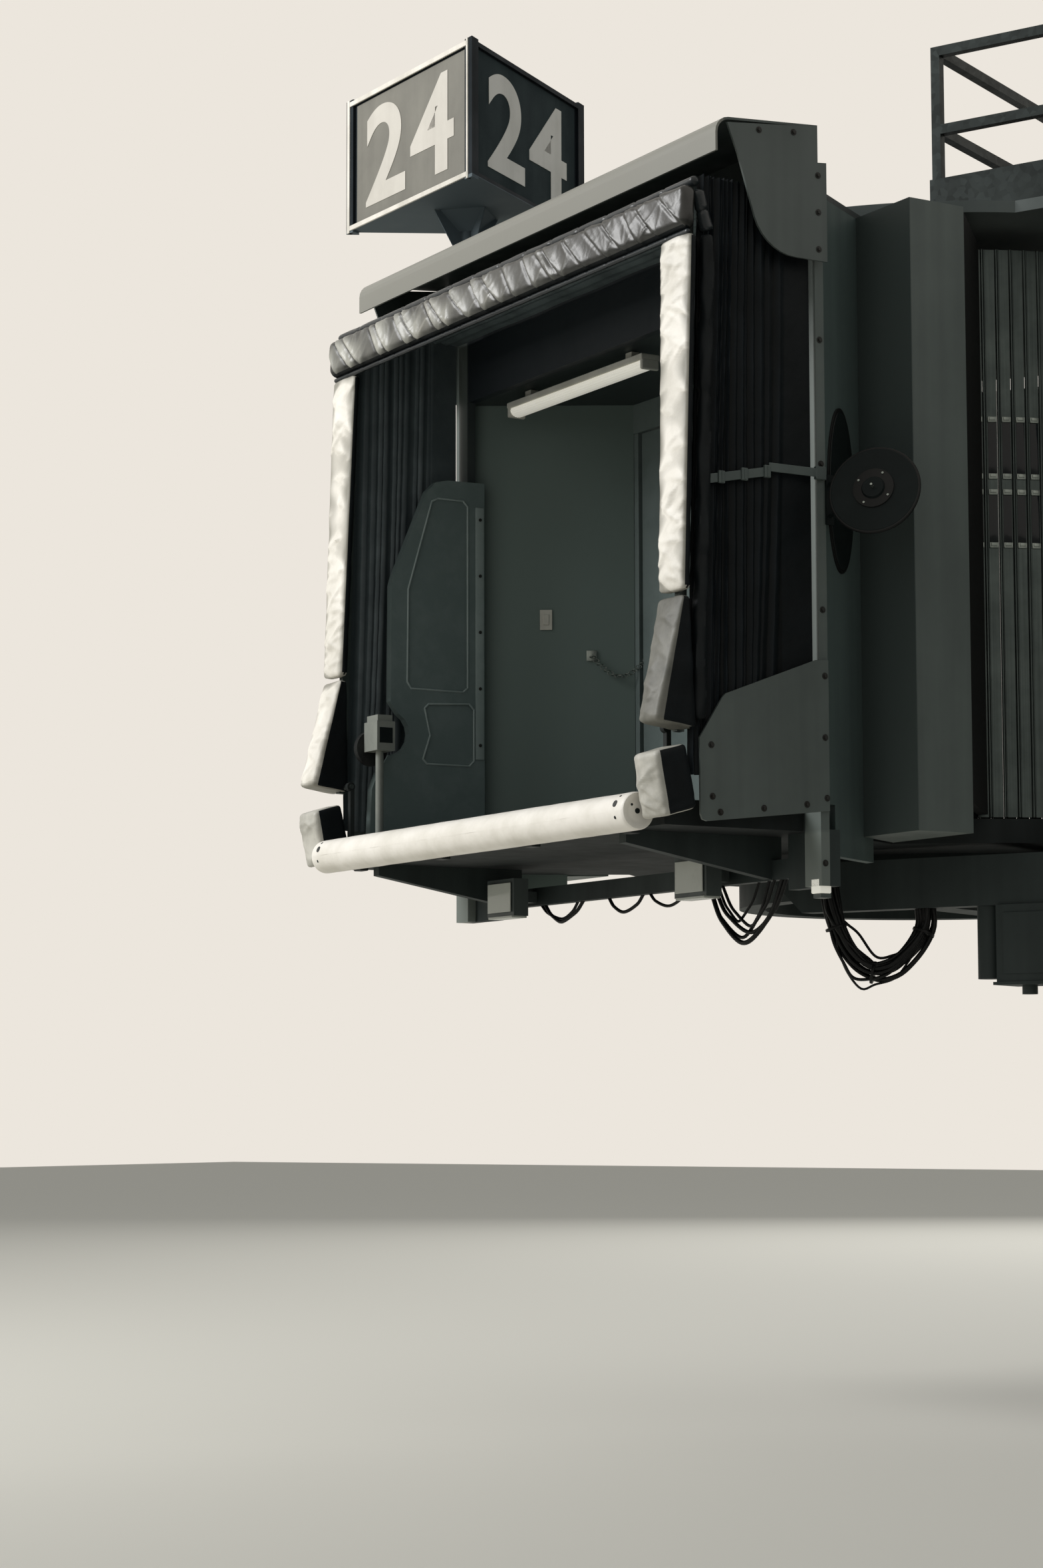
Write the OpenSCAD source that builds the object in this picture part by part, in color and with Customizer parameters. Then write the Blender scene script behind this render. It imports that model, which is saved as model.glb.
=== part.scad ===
// Jet bridge: a round cab on the end of two telescoping tunnels, carried by a
// fixed column at the terminal and by two lift columns on a pair of wheels.
// Millimetres, X towards the cab, Z up, origin under the fixed column.

/* [Levels] */
// Height of the cab floor above the apron
floor_z = 2980; // [2800:20:3600]
// Clear height of the cab
cab_h = 2560; // [2400:20:2660]
// Clear height of the round drum behind the cab
drum_h = 3020; // [2960:20:3200]

/* [Plan] */
// Length of the inner tunnel
inner_len = 9000; // [7500:250:12000]
// Length of the outer tunnel
outer_len = 8250; // [7500:250:11000]
// Length of the overlap of the two tunnels at rest
lap = 3000; // [2400:100:4000]
// Length of the corridor between the column and the terminal
corridor_len = 1800; // [1200:100:3000]
// Turn of the cab to the left of the tunnel, in degrees
cab_turn = 65; // [0:1:80]

/* [Tunnels] */
// Outside half width of the outer tunnel
outer_half = 1450; // [1400:10:1600]
// Clear half width of the outer tunnel
outer_clear = 1300; // [1250:10:1320]
// Clear height of the outer tunnel
outer_h = 2450; // [2350:10:2600]
// Outside half width of the inner tunnel
inner_half = 1160; // [1000:10:1200]
// Clear half width of the inner tunnel
inner_clear = 1060; // [900:10:1070]
// Depth of the wall corrugation
rib_d = 40; // [20:5:50]
// Spacing of the wall corrugation
rib_pitch = 300; // [200:10:500]
// Thickness of a roof panel
roof_t = 100; // [60:5:140]
// Height of the side beams
beam_h = 250; // [200:10:320]
// Width of the side beams
beam_w = 120; // [80:5:160]

/* [Fixed column] */
// Radius of the base plate
base_r = 900; // [800:10:1100]
// Thickness of the base plate
base_t = 50; // [30:5:80]
// Radius of the column tube
column_r = 380; // [300:10:450]
// Wall of the column tube
column_wall = 25; // [12:1:40]
// Radius of the ring of anchor bolts
anchor_r = 720; // [620:10:800]
// Radius of an anchor hole
anchor_hole_r = 22; // [15:1:30]
// Outside radius of the round room over the column
rotunda_r = 2100; // [1900:10:2300]

/* [Drive] */
// Distance of the lift columns behind the outer tunnel's front end
drive_back = 3600; // [3000:100:4500]
// Radius of a drive wheel
wheel_r = 500; // [400:10:600]
// Width of a drive wheel
wheel_w = 360; // [250:10:400]
// Side of the square lift columns
lift_side = 340; // [280:10:400]

/* [Cab] */
// Distance from the turning centre to the front frame
front_p = 1990; // [1950:10:2100]
// Half width over the front frame
front_half = 1736; // [1700:4:1800]
// Distance from the turning centre to the door
door_p = 1190; // [1150:10:1240]
// Half width of the cab at the door
door_half = 1250; // [1200:10:1280]
// Thickness of the cab walls
cab_wall = 50; // [30:5:60]
// Radius of the slatted curtains, at their middle
curtain_r = 1660; // [1640:5:1680]
// Thickness of a slatted curtain
curtain_t = 36; // [20:2:40]
// Thickness of the turning floor
deck_t = 120; // [80:10:160]
// Height of the slewing ring under the floor
slew_h = 60; // [40:5:80]
// Distance from the turning centre to the middle of the bumper
bumper_p = 2950; // [2900:10:3050]
// Radius of the bumper
bumper_r = 90; // [70:5:110]
// Set-in of the bumper's ends from the sides of the front frame
bumper_inset = 161; // [120:1:200]

/* [Canopy] */
// Distance from the turning centre to the canopy's hinge
hinge_p = 2800; // [2780:5:2830]
// Height of the canopy's hinge above the floor
hinge_h = 330; // [280:10:400]
// Height of the canopy frame's top above the floor
canopy_top = 2860; // [2760:10:2900]
// Lean of the folded canopy back over the cab, in degrees
canopy_rest = 1.75; // [0:0.25:2]
// Half width over the canopy pads
canopy_half = 1810; // [1790:5:1830]
// Width of a canopy pad across the opening
pad_w = 270; // [230:10:290]
// Thickness of the upright pads
pad_d = 50; // [30:5:70]
// Height of the knee of the pads above the hinge
knee_h = 600; // [500:10:700]
// Depth of a pad at its lower end
foot_d = 205; // [120:5:240]
// Height of the header pad
header_h = 220; // [160:10:260]
// Distance from the turning centre to the front lip of the hood
hood_p = 2640; // [2600:10:2700]
// Radius of the hood's rounded nose
nose_r = 80; // [40:5:100]

/* [Sign] */
// Side of the three-sided sign
sign_w = 1400; // [1200:10:1500]
// Height of the three-sided sign
sign_h = 768; // [600:4:840]
// Height of the sign's lower edge above the floor
sign_z = 3690; // [3600:10:3800]

/* [Hidden] */
$fn = 64;
fit = 0.3;
eps = 1;

sheet = 12;

// Levels
beam_top = floor_z - deck_t - slew_h;
ceil_z = floor_z + cab_h;
drum_z = floor_z + drum_h;
outer_roof_z = floor_z + outer_h;
inner_gap = 20;
inner_deck = 80;
inner_floor_z = floor_z + inner_gap + inner_deck;
inner_roof_t = 80;
inner_top_z = outer_roof_z - inner_gap - inner_roof_t;
rotunda_deck = 150;

// Places along the bridge
inner_x = rotunda_r - 100;
outer_x = inner_x + inner_len - lap;
outer_end = outer_x + outer_len;
throat_len = 2650;
cab_x = outer_end + throat_len;
drive_x = outer_end - drive_back;

wall_t = 60;
flat_end = 110;

module in_cab() {
    translate([cab_x, 0, 0]) rotate([0, 0, cab_turn]) children();
}

module both_sides() {
    children();
    mirror([0, 1, 0]) children();
}

// A corrugated wall seen from above, flat on its inner side and at both ends
function ribs(len, n) = [for (i = [0 : n - 1], k = [0 : 3])
    let (pitch = (len - 2 * flat_end) / n, x = flat_end + i * pitch)
    [x + pitch * [0.1, 0.25, 0.75, 0.9][k], wall_t + rib_d * [0, 1, 1, 0][k]]];

module rib_wall(len, h) {
    n = max(2, round(len / rib_pitch));
    linear_extrude(h)
        polygon(concat([[0, 0], [0, wall_t]], ribs(len, n), [[len, wall_t], [len, 0]]));
}

// A square tube standing on its end
module square_tube(side, wall, h) {
    difference() {
        translate([-side / 2, -side / 2, 0]) cube([side, side, h]);
        translate([-side / 2 + wall, -side / 2 + wall, -eps])
            cube([side - 2 * wall, side - 2 * wall, h + 2 * eps]);
    }
}

module sector(r, a1, a2) {
    polygon(concat([[0, 0]], [for (i = [0 : 8]) let (a = a1 + (a2 - a1) * i / 8) r * [cos(a), sin(a)]]));
}

module ring_wall(r, t, h, a1, a2) {
    linear_extrude(h) difference() {
        intersection() {
            circle(r + t / 2, $fn = 128);
            sector(2 * r, a1, a2);
        }
        circle(r - t / 2, $fn = 128);
    }
}

// Fixed column and the round room over it
rotunda_floor_z = inner_floor_z;
rotunda_under = rotunda_floor_z - rotunda_deck;
gusset_n = 8;

module rotunda_column() color("gray") {
    difference() {
        union() {
            cylinder(h = base_t, r = base_r);
            cylinder(h = rotunda_under, r = column_r);
            translate([0, 0, rotunda_under - base_t]) cylinder(h = base_t, r = base_r);
            for (i = [0 : gusset_n - 1]) rotate([0, 0, (i + 0.5) * 360 / gusset_n])
                translate([0, 10, base_t]) rotate([90, 0, 0]) linear_extrude(20)
                    polygon([[column_r - 20, 0], [anchor_r - 60, 0], [column_r - 20, 500]]);
        }
        translate([0, 0, base_t]) cylinder(h = rotunda_under - 2 * base_t, r = column_r - column_wall);
        for (i = [0 : gusset_n - 1]) rotate([0, 0, i * 360 / gusset_n])
            translate([anchor_r, 0, -eps]) cylinder(h = base_t + 2 * eps, r = anchor_hole_r);
    }
}

module rotunda_floor() color("dimgray") translate([0, 0, rotunda_under]) {
    cylinder(h = rotunda_deck, r = rotunda_r);
    translate([-rotunda_r - corridor_len, -inner_half, 0])
        cube([rotunda_r + corridor_len, 2 * inner_half, rotunda_deck]);
}

ring_r = rotunda_r - 60;
ring_in = ring_r - wall_t / 2;
joint_a = 0.01;

module rotunda_walls() color("gainsboro") translate([0, 0, rotunda_floor_z])
    both_sides() difference() {
        for (a = [[5, 90 - joint_a], [90 + joint_a, 175]])
            ring_wall(ring_r, wall_t, inner_top_z - rotunda_floor_z, a[0], a[1]);
        translate([0, 0, -eps]) cube([2 * rotunda_r, inner_clear + wall_t + fit, 2 * inner_top_z]);
        translate([-2 * rotunda_r, 0, -eps]) cube([2 * rotunda_r, inner_half + fit, 2 * inner_top_z]);
    }

roof_r = rotunda_r + 60;

module rotunda_roof() color("lightgray") translate([0, 0, inner_top_z]) {
    cylinder(h = inner_roof_t, r = roof_r);
    translate([-rotunda_r - corridor_len, -inner_half - 30, 0])
        cube([rotunda_r + corridor_len, 2 * inner_half + 60, inner_roof_t]);
}

module corridor_walls() color("gainsboro") both_sides()
    translate([-rotunda_r - corridor_len, inner_clear, rotunda_floor_z])
        cube([corridor_len + rotunda_r - sqrt(ring_in ^ 2 - inner_half ^ 2), inner_half - inner_clear,
            inner_top_z - rotunda_floor_z]);

// Inner tunnel
ring_gap = 5;
inner_wall_x = sqrt(ring_in ^ 2 - (inner_clear + wall_t) ^ 2);

// A slab over the length of the inner tunnel, cut to the round room's edge
module inner_slab(z, t, r) difference() {
    translate([inner_wall_x, -inner_half, z]) cube([inner_x + inner_len - inner_wall_x, 2 * inner_half, t]);
    translate([0, 0, z - eps]) cylinder(h = t + 2 * eps, r = r + ring_gap);
}

module inner_floor() color("dimgray") inner_slab(inner_floor_z - inner_deck, inner_deck, rotunda_r);

module inner_walls() color("gainsboro") both_sides()
    translate([inner_wall_x, inner_clear, inner_floor_z])
        rib_wall(inner_x + inner_len - inner_wall_x, inner_top_z - inner_floor_z);

module inner_roof() color("lightgray") inner_slab(inner_top_z, inner_roof_t, roof_r);

// Outer tunnel
joist_pitch = 1000;
plate_t = 60;

module outer_floor() color("dimgray") {
    difference() {
        union() {
            translate([outer_x, -outer_half, floor_z - plate_t]) cube([outer_len, 2 * outer_half, plate_t]);
            translate([cab_x, 0, floor_z - plate_t]) linear_extrude(plate_t)
                polygon([[-throat_len - eps, -throat_half], [-throat_front, -throat_in],
                    [-throat_front, throat_in], [-throat_len - eps, throat_half]]);
        }
        translate([cab_x, 0, floor_z - deck_t]) cylinder(h = 2 * deck_t, r = disc_r + 10, $fn = 128);
    }
    for (i = [0 : floor(outer_len / joist_pitch)])
        translate([outer_x + min(i * joist_pitch, outer_len - 100), -outer_clear, beam_top])
            cube([100, 2 * outer_clear, deck_t + slew_h - plate_t]);
    both_sides() for (x = [outer_x + 100, outer_x + lap - 600])
        translate([x, inner_clear - 60, floor_z - eps]) cube([400, 120, inner_gap - fit + eps]);
}

module outer_walls() color("gainsboro") both_sides()
    translate([outer_x, outer_clear, floor_z]) rib_wall(outer_len, outer_h);

module outer_roof() color("lightgray")
    translate([outer_x - 60, -outer_half, outer_roof_z]) cube([outer_len + 60, 2 * outer_half, roof_t]);

beam_y = 1300;
beam_tip = 300;

module side_beams() color("slategray") {
    both_sides() translate([0, beam_y + beam_w, 0]) rotate([90, 0, 0]) linear_extrude(beam_w)
        polygon([[outer_x, beam_top], [outer_x, beam_top - beam_h], [cab_x + beam_tip - beam_h, beam_top - beam_h],
            [cab_x + beam_tip, beam_top]]);
    for (x = [outer_x, drive_x - 100, outer_end - 300, cab_x - 1150, cab_x - 100, cab_x + 0.55 * curtain_r])
        if (x < cab_x + 10)
            translate([x, -beam_y - eps, beam_top - 160]) cube([200, 2 * beam_y + 2 * eps, 160]);
    translate([cab_x, 0, beam_top - 160]) difference() {
        cylinder(h = 160 + slew_h - fit, r = slew_r);
        translate([0, 0, -eps]) cylinder(h = 160 + slew_h + 2 * eps, r = slew_r - 140);
    }
}

// Throat between the outer tunnel and the drum
throat_half = 1350;
throat_in = 800;
throat_front = 1450;
slew_r = 1080;
disc_r = curtain_r + curtain_t / 2 + 42;

module throat_walls() color("gainsboro") translate([cab_x, 0, floor_z + 6]) {
    both_sides() linear_extrude(drum_h - 6 - fit)
        polygon([[-throat_len, throat_half], [-throat_front, throat_in], [-throat_front, throat_in - 60],
            [-throat_len, throat_half - 65]]);
    translate([-throat_len, -outer_half, outer_h + roof_t - 6])
        cube([60, 2 * outer_half, drum_h - outer_h - roof_t]);
}

module drum_roof() color("slategray") translate([cab_x, 0, drum_z]) linear_extrude(60) union() {
    circle(r = 1900, $fn = 128);
    polygon([[-throat_len - 60, -outer_half], [-600, -outer_half], [-600, outer_half], [-throat_len - 60, outer_half]]);
}

// Roof platform with a kick plate and a rail of angle iron
platform_half = 1100;
platform_front = -580;
platform_len = 2000;
platform_z = drum_z + 60;
rail_side = 50;
rail_h = 1010;

module roof_platform() color("darkgray") translate([cab_x + platform_front - platform_len, 0, platform_z]) {
    translate([0, -platform_half, 70]) cube([platform_len, 2 * platform_half, 40]);
    for (y = [-platform_half, platform_half - 10]) translate([0, y, 70]) cube([platform_len, 10, 230]);
    for (x = [0, platform_len - 10]) translate([x, -platform_half, 70]) cube([10, 2 * platform_half, 230]);
    for (x = [100, platform_len / 2, platform_len - 200], y = [-platform_half + 40, platform_half - 140])
        translate([x, y, 0]) cube([100, 100, 80]);
}

module platform_rails() color("silver") translate([cab_x + platform_front - platform_len, 0, platform_z + 70]) {
    for (x = [10, platform_len / 2, platform_len - 10 - rail_side], y = [-platform_half + 10, platform_half - 10 - rail_side])
        translate([x, y, 40]) cube([rail_side, rail_side, rail_h - 110]);
    for (z = [470, rail_h - 120]) {
        for (y = [-platform_half + 10, platform_half - 10 - rail_side])
            translate([10, y, z]) cube([platform_len - 20, rail_side, rail_side]);
        for (x = [10, platform_len - 10 - rail_side])
            translate([x, -platform_half + 10, z]) cube([rail_side, 2 * platform_half - 20, rail_side]);
    }
}

// Lift columns, axle beam and wheels
lift_y = outer_half + 70 + lift_side / 2;
lift_top = floor_z + 1700;
axle_z = wheel_r;
axle_top = axle_z + wheel_r + 320;
wheel_y = 560;

module lift_columns() color("whitesmoke") {
    both_sides() translate([drive_x, lift_y, 0]) {
        translate([0, 0, axle_top + 500]) square_tube(lift_side, 16, lift_top - axle_top - 500);
        translate([0, 0, axle_top]) square_tube(lift_side - 70, 20, lift_top - axle_top - 200);
        translate([-lift_side / 2, -lift_side / 2, lift_top - eps]) cube([lift_side, lift_side, 20]);
        translate([-lift_side / 2, -lift_side / 2, axle_top + 500]) difference() {
            cube([lift_side, lift_side, 16]);
            translate([35, 35, -eps]) cube([lift_side - 70, lift_side - 70, 20]);
        }
    }
    translate([drive_x - 150, -lift_y + lift_side / 2 + fit, beam_top - beam_h - 260 - fit]) difference() {
        cube([300, 2 * lift_y - lift_side - 2 * fit, 260]);
        translate([20, -eps, 20]) cube([260, 2 * lift_y, 220]);
    }
}

module axle_beam() color("slategray") translate([drive_x, 0, 0]) {
    translate([-180, -lift_y - lift_side / 2, axle_top - 260]) cube([360, 2 * lift_y + lift_side, 260]);
    translate([0, 0, axle_top - 400]) cylinder(h = 200, r = 260);
    translate([-260, -wheel_y + wheel_w / 2 + 40, axle_z - 130])
        cube([520, 2 * wheel_y - wheel_w - 80, axle_top - axle_z - 250]);
    translate([0, wheel_y + wheel_w / 2 + 60, axle_z]) rotate([90, 0, 0])
        cylinder(h = 2 * wheel_y + wheel_w + 120, r = 70);
}

module drive_wheels() color("dimgray") both_sides() translate([drive_x, wheel_y + wheel_w / 2, axle_z])
    rotate([90, 0, 0]) rotate_extrude($fn = 96) polygon([
        [70 + fit, 5], [150, 5], [165, 40], [wheel_r - 190, 40], [wheel_r - 190, 10], [wheel_r - 120, 0], [wheel_r - 20, 20], [wheel_r, 50],
        [wheel_r, wheel_w - 50], [wheel_r - 20, wheel_w - 20], [wheel_r - 120, wheel_w], [wheel_r - 190, wheel_w - 10],
        [wheel_r - 190, wheel_w - 40], [165, wheel_w - 40], [150, wheel_w - 5], [70 + fit, wheel_w - 5]]);

// Service stair on the right
landing_x = outer_end - 2100;
landing_len = 1100;
landing_out = 2750;
stair_in = 1990;
steps = 14;
tread = 250;

module service_landing() color("darkgray") {
    translate([landing_x, -landing_out, floor_z - 60]) cube([landing_len, landing_out - outer_half - fit, 60]);
    for (x = [landing_x, landing_x + landing_len - 60]) {
        translate([x, -landing_out, floor_z - 160]) cube([60, landing_out - beam_y - beam_w - fit, 100]);
        translate([x, -landing_out, floor_z - eps]) cube([50, 50, 1100]);
        translate([x, -outer_half - 60, floor_z - eps]) cube([50, 50, 1100]);
    }
    for (z = [550, 1050]) {
        translate([landing_x, -landing_out, floor_z + z]) cube([landing_len, 50, 50]);
        translate([landing_x + landing_len - 60, -landing_out, floor_z + z])
            cube([50, landing_out - outer_half - 10, 50]);
    }
}

module service_stair() color("darkgray") {
    rise = (floor_z - 100) / steps;
    for (y = [-landing_out, -stair_in - 20]) translate([0, y + 20, 0]) rotate([90, 0, 0]) linear_extrude(20)
        polygon([[landing_x - fit, floor_z], [landing_x - fit, floor_z - 300],
            [landing_x - steps * tread, 60], [landing_x - steps * tread - 150, 60],
            [landing_x - steps * tread - 150, 150]]);
    for (i = [1 : steps - 1])
        translate([landing_x - i * tread - 30, -landing_out + 10, floor_z - i * rise - 70])
            cube([tread + 20, landing_out - stair_in - 20, 30]);
}

// Height of the strings' upper edge, at a distance before the landing
function string_top(d) = floor_z - d * (floor_z - 150) / (steps * tread + 150);

module stair_rails() color("darkgray") for (y = [-landing_out, -stair_in - 40])
    translate([landing_x, y + 40, 0]) rotate([90, 0, 0]) linear_extrude(40) {
        polygon([[-fit, string_top(fit) + 1100], [-fit, string_top(fit) + 1050],
            [-steps * tread, string_top(steps * tread) + 1050], [-steps * tread, string_top(steps * tread) + 1100]]);
        for (d = [200, 1200, 2200, 3200]) polygon([[-d, string_top(d) + fit], [-d, string_top(d) + 1060],
            [-d - 40, string_top(d + 40) + 1060], [-d - 40, string_top(d + 40) + fit]]);
    }

// Junction box and the cable loop under the drum
box_x = cab_x - 1650;
box_y = 1180;
box_h = 380;

module junction_box() color("slategray") translate([box_x, box_y, beam_top - beam_h - box_h - fit]) {
    cube([600, 260, box_h]);
    translate([40, 260 - eps, 40]) cube([520, 8, box_h - 80]);
    translate([-15, -10, -14]) cube([630, 280, 15]);
    translate([460, 180, -60]) cylinder(h = 50, r = 38);
    translate([680, 160, 20]) cylinder(h = box_h - 20, r = 62);
    translate([590, 130, box_h - 60]) cube([60, 60, 60]);
}

loop_r = 58;
loop_sides = 10;
LOOP = [[-170, 1560, 2859.7], [-170, 1560, 2780], [-178, 1558, 2690], [-188, 1554, 2600], [-205, 1546, 2510],
    [-230, 1535, 2420], [-268, 1518, 2335], [-325, 1495, 2265], [-400, 1465, 2230], [-480, 1435, 2250],
    [-545, 1410, 2310], [-600, 1384, 2390], [-628, 1362, 2470], [-628, 1362, 2549.7]];

function unit(v) = v / norm(v);
function tangent(p, i) = unit(p[min(i + 1, len(p) - 1)] - p[max(i - 1, 0)]);
function hoop(p, i, r, n) = let (t = tangent(p, i), a = unit(cross([0, 1, 0], t)), b = cross(t, a))
    [for (k = [0 : n - 1]) p[i] + r * (cos(k * 360 / n) * a + sin(k * 360 / n) * b)];

module hose(p, r, n) {
    m = len(p);
    points = [for (i = [0 : m - 1]) each hoop(p, i, r, n)];
    sides = [for (i = [0 : m - 2], k = [0 : n - 1])
        [i * n + k, i * n + (k + 1) % n, (i + 1) * n + (k + 1) % n, (i + 1) * n + k]];
    polyhedron(points, concat(sides, [[for (k = [n - 1 : -1 : 0]) k], [for (k = [0 : n - 1]) (m - 1) * n + k]]));
}

module cable_loop() color("black") translate([cab_x, 0, 0]) hose(LOOP, loop_r, loop_sides);

// Slatted curtains round the drum
curtain_z = floor_z + fit;
curtain_h = drum_h - 120;
curtain_back = acos((fit - throat_front) / (curtain_r + curtain_t / 2));
curtain_front = 58;

module curtain(a1, a2) translate([cab_x, 0, curtain_z]) ring_wall(curtain_r, curtain_t, curtain_h, a1, a2);

module left_curtain() color("silver") curtain(cab_turn + curtain_front, curtain_back);
module right_curtain() color("silver") {
    middle = (cab_turn - curtain_front - curtain_back) / 2;
    curtain(-curtain_back, middle);
    curtain(middle, cab_turn - curtain_front);
}

// Cab
wall_a = atan2(front_half - door_half, front_p - door_p);
inner_shift = cab_wall / cos(wall_a);
frame_d = 50;
frame_top = 2970;
sub_z = floor_z - 386;
deck_front = bumper_p - bumper_r - 40;
foot_q = 1400;
post_w = 130;

// Hinge of the leaning canopy
hinge_r = 12;
hinge_lug_t = 30;

cushion_gap = 15;
bumper_len = 2 * (front_half - bumper_inset);
cushion_q = bumper_len / 2 + cushion_gap;
hinge_lug_q = cushion_q - fit;

module cab_floor() color("dimgray") in_cab() {
    inner = door_half - inner_shift - fit;
    side = front_half - post_w - fit;
    nose = cushion_q - fit;
    translate([0, 0, floor_z - deck_t]) linear_extrude(deck_t) union() {
        circle(r = disc_r, $fn = 128);
        polygon([[door_p - 300, -inner], [door_p, -inner], [front_p - fit, -side], [front_p + frame_d + fit, -side],
            [front_p + frame_d + fit, -nose], [deck_front, -nose], [deck_front, nose], [front_p + frame_d + fit, nose],
            [front_p + frame_d + fit, side], [front_p - fit, side], [door_p, inner], [door_p - 300, inner]]);
    }
    both_sides() translate([hinge_p, hinge_lug_q, floor_z]) rotate([90, 0, 0]) linear_extrude(hinge_lug_t) difference() {
        union() {
            translate([-20, -eps]) square([hinge_r + 13, hinge_h]);
            translate([0, hinge_h]) circle(r = 2 * hinge_r);
        }
        translate([0, hinge_h]) circle(r = hinge_r + fit);
    }
}

module wall_plan() polygon([[door_p, door_half], [front_p - fit, front_half],
    [front_p - fit, front_half - inner_shift], [door_p, door_half - inner_shift]]);

skirt_p = 1520;
skirt_h = 240;

module cab_walls() color("gainsboro") in_cab() both_sides() {
    translate([0, 0, floor_z + fit]) linear_extrude(frame_top - 50 - fit) wall_plan();
    translate([0, 0, floor_z - skirt_h]) linear_extrude(skirt_h + 2 * fit) intersection() {
        wall_plan();
        translate([skirt_p, 0]) square([front_p - 60 - fit - skirt_p, front_half]);
    }
}

module cab_ceiling() color("lightgray") in_cab() {
    translate([0, 0, ceil_z]) linear_extrude(40) polygon([[door_p, -door_half + inner_shift],
        [front_p, -front_half + inner_shift], [front_p, front_half - inner_shift], [door_p, door_half - inner_shift]]);
    translate([0, 0, floor_z + frame_top - 50]) linear_extrude(30) polygon([[door_p, -door_half],
        [front_p, -front_half], [front_p, front_half], [door_p, door_half]]);
}

module front_frame() color("whitesmoke") in_cab() {
    both_sides() translate([front_p, front_half - post_w, sub_z]) cube([frame_d, post_w, floor_z - sub_z + frame_top]);
    translate([front_p, -front_half, ceil_z]) cube([frame_d, 2 * front_half, floor_z + frame_top - ceil_z]);
}

door_h = 2380;
door_t = 45;
door_w = 1130;
door_gap = 6;

module door_frame() color("slategray") in_cab() {
    translate([door_p - 100, -door_half + inner_shift, floor_z + door_h + 2 * door_gap])
        cube([100, 2 * (door_half - inner_shift), drum_h - door_h - 2 * door_gap - 60]);
}

module door_leaf() {
    difference() {
        translate([door_p - door_t - 20, 5, floor_z + door_gap]) cube([door_t, door_w, door_h]);
        translate([door_p - door_t - 21, door_w / 2 - 200, floor_z + 1350]) cube([door_t + 2, 400, 700]);
    }
    translate([door_p - door_t / 2 - 20 - 6, door_w / 2 - 200, floor_z + 1350]) cube([12, 400, 700]);
    translate([door_p - door_t / 2 - 20, door_w - 30, floor_z + fit]) cylinder(h = door_h + 2 * door_gap - 2 * fit, r = 15);
}

module left_door() color("lightgray") in_cab() door_leaf();
module right_door() color("lightgray") in_cab() mirror([0, 1, 0]) door_leaf();

housing_back = 1296;
housing_front = 1625;
housing_out = 1941;
housing_low = floor_z - 124;
housing_top = floor_z + 2924;

function wall_q(p) = door_half + fit + (p - door_p) * tan(wall_a);

module housing_plan(inset) {
    polygon([[housing_back + inset, wall_q(housing_back) + 2 * inset], [housing_front - inset, wall_q(housing_front) + inset],
        [housing_front - inset, housing_out - inset], [housing_back + inset, housing_out - inset]]);
}

module curtain_housings() color("whitesmoke") in_cab() both_sides() {
    translate([0, 0, housing_low]) linear_extrude(housing_top - housing_low) difference() {
        housing_plan(0);
        housing_plan(sheet);
    }
    translate([0, 0, housing_top - sheet]) linear_extrude(sheet) housing_plan(0);
    translate([0, 0, housing_low]) linear_extrude(sheet) housing_plan(0);
}

module curtain_seals() color("black") in_cab() both_sides()
    translate([0, 0, floor_z + 20]) linear_extrude(drum_h - 140) polygon([[housing_back, housing_out],
        [housing_back, housing_out - 80], [880, 1460], [850, 1500]]);

// Hood over the canopy, with a rounded nose and a curved cheek on each side
hood_side = 1800;
hood_z = floor_z + frame_top + 280;
nose_z = hood_z - 40;
hood_foot = floor_z + frame_top - 30;
cheek_r = 248;
cheek_low = floor_z + 2585;

module cheek() polygon(concat(
    [[front_p + 20, cheek_low], [front_p + 20, hood_z - 182], [front_p + 80, hood_z - 188], [front_p + 80, hood_z - 12],
        [hood_p - 60, nose_z - 30], [hood_p - 118, hood_z - 210]],
    [for (a = [-20 : -10 : -90]) [front_p + 205 + cheek_r * cos(a), cheek_low + cheek_r + cheek_r * sin(a)]]));

// Outline of the hood's sheet from the back to the lip, moved inwards by t
function hood_line(t) = concat([[front_p + 62 + t, hood_foot], [front_p + 62 + t, hood_z - t]],
    [for (a = [85 : -17 : 0]) [hood_p - nose_r + (nose_r - t) * cos(a), nose_z - nose_r + (nose_r - t) * sin(a)]],
    [[hood_p - t, nose_z - nose_r - 90]]);

module canopy_hood() color("whitesmoke") in_cab() {
    both_sides() translate([0, hood_side, 0]) rotate([90, 0, 0]) linear_extrude(sheet) cheek();
    outer = hood_line(0);
    inner = hood_line(sheet);
    translate([0, hood_side - sheet, 0]) rotate([90, 0, 0]) linear_extrude(2 * (hood_side - sheet))
        polygon(concat(outer, [for (i = [len(inner) - 1 : -1 : 0]) inner[i]]));
    translate([front_p + frame_d, sheet - hood_side, hood_foot]) cube([sheet + 2, 2 * (hood_side - sheet), 50]);
}

// Lower cheek plates beside the floor
module side_guards() color("whitesmoke") in_cab() both_sides() translate([0, front_half + sheet, 0])
    rotate([90, 0, 0]) linear_extrude(sheet) polygon([[front_p + 5, floor_z - 35], [2690, floor_z - 112],
        [2715, floor_z - 105], [2725, floor_z - 80], [2727, floor_z + 272], [2600, floor_z + 465], [2580, floor_z + 485],
        [2560, floor_z + 492], [2066, floor_z + 676], [front_p + 5, floor_z + 680]]);

module bumper() color("white") in_cab() {
    translate([bumper_p, bumper_len / 2, floor_z - 62]) rotate([90, 0, 0]) cylinder(h = bumper_len, r = bumper_r);
    for (q = [-1350, -450, 450, 1350]) translate([deck_front, q - 40, floor_z - deck_t])
        cube([bumper_p - deck_front, 80, 100]);
}

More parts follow.
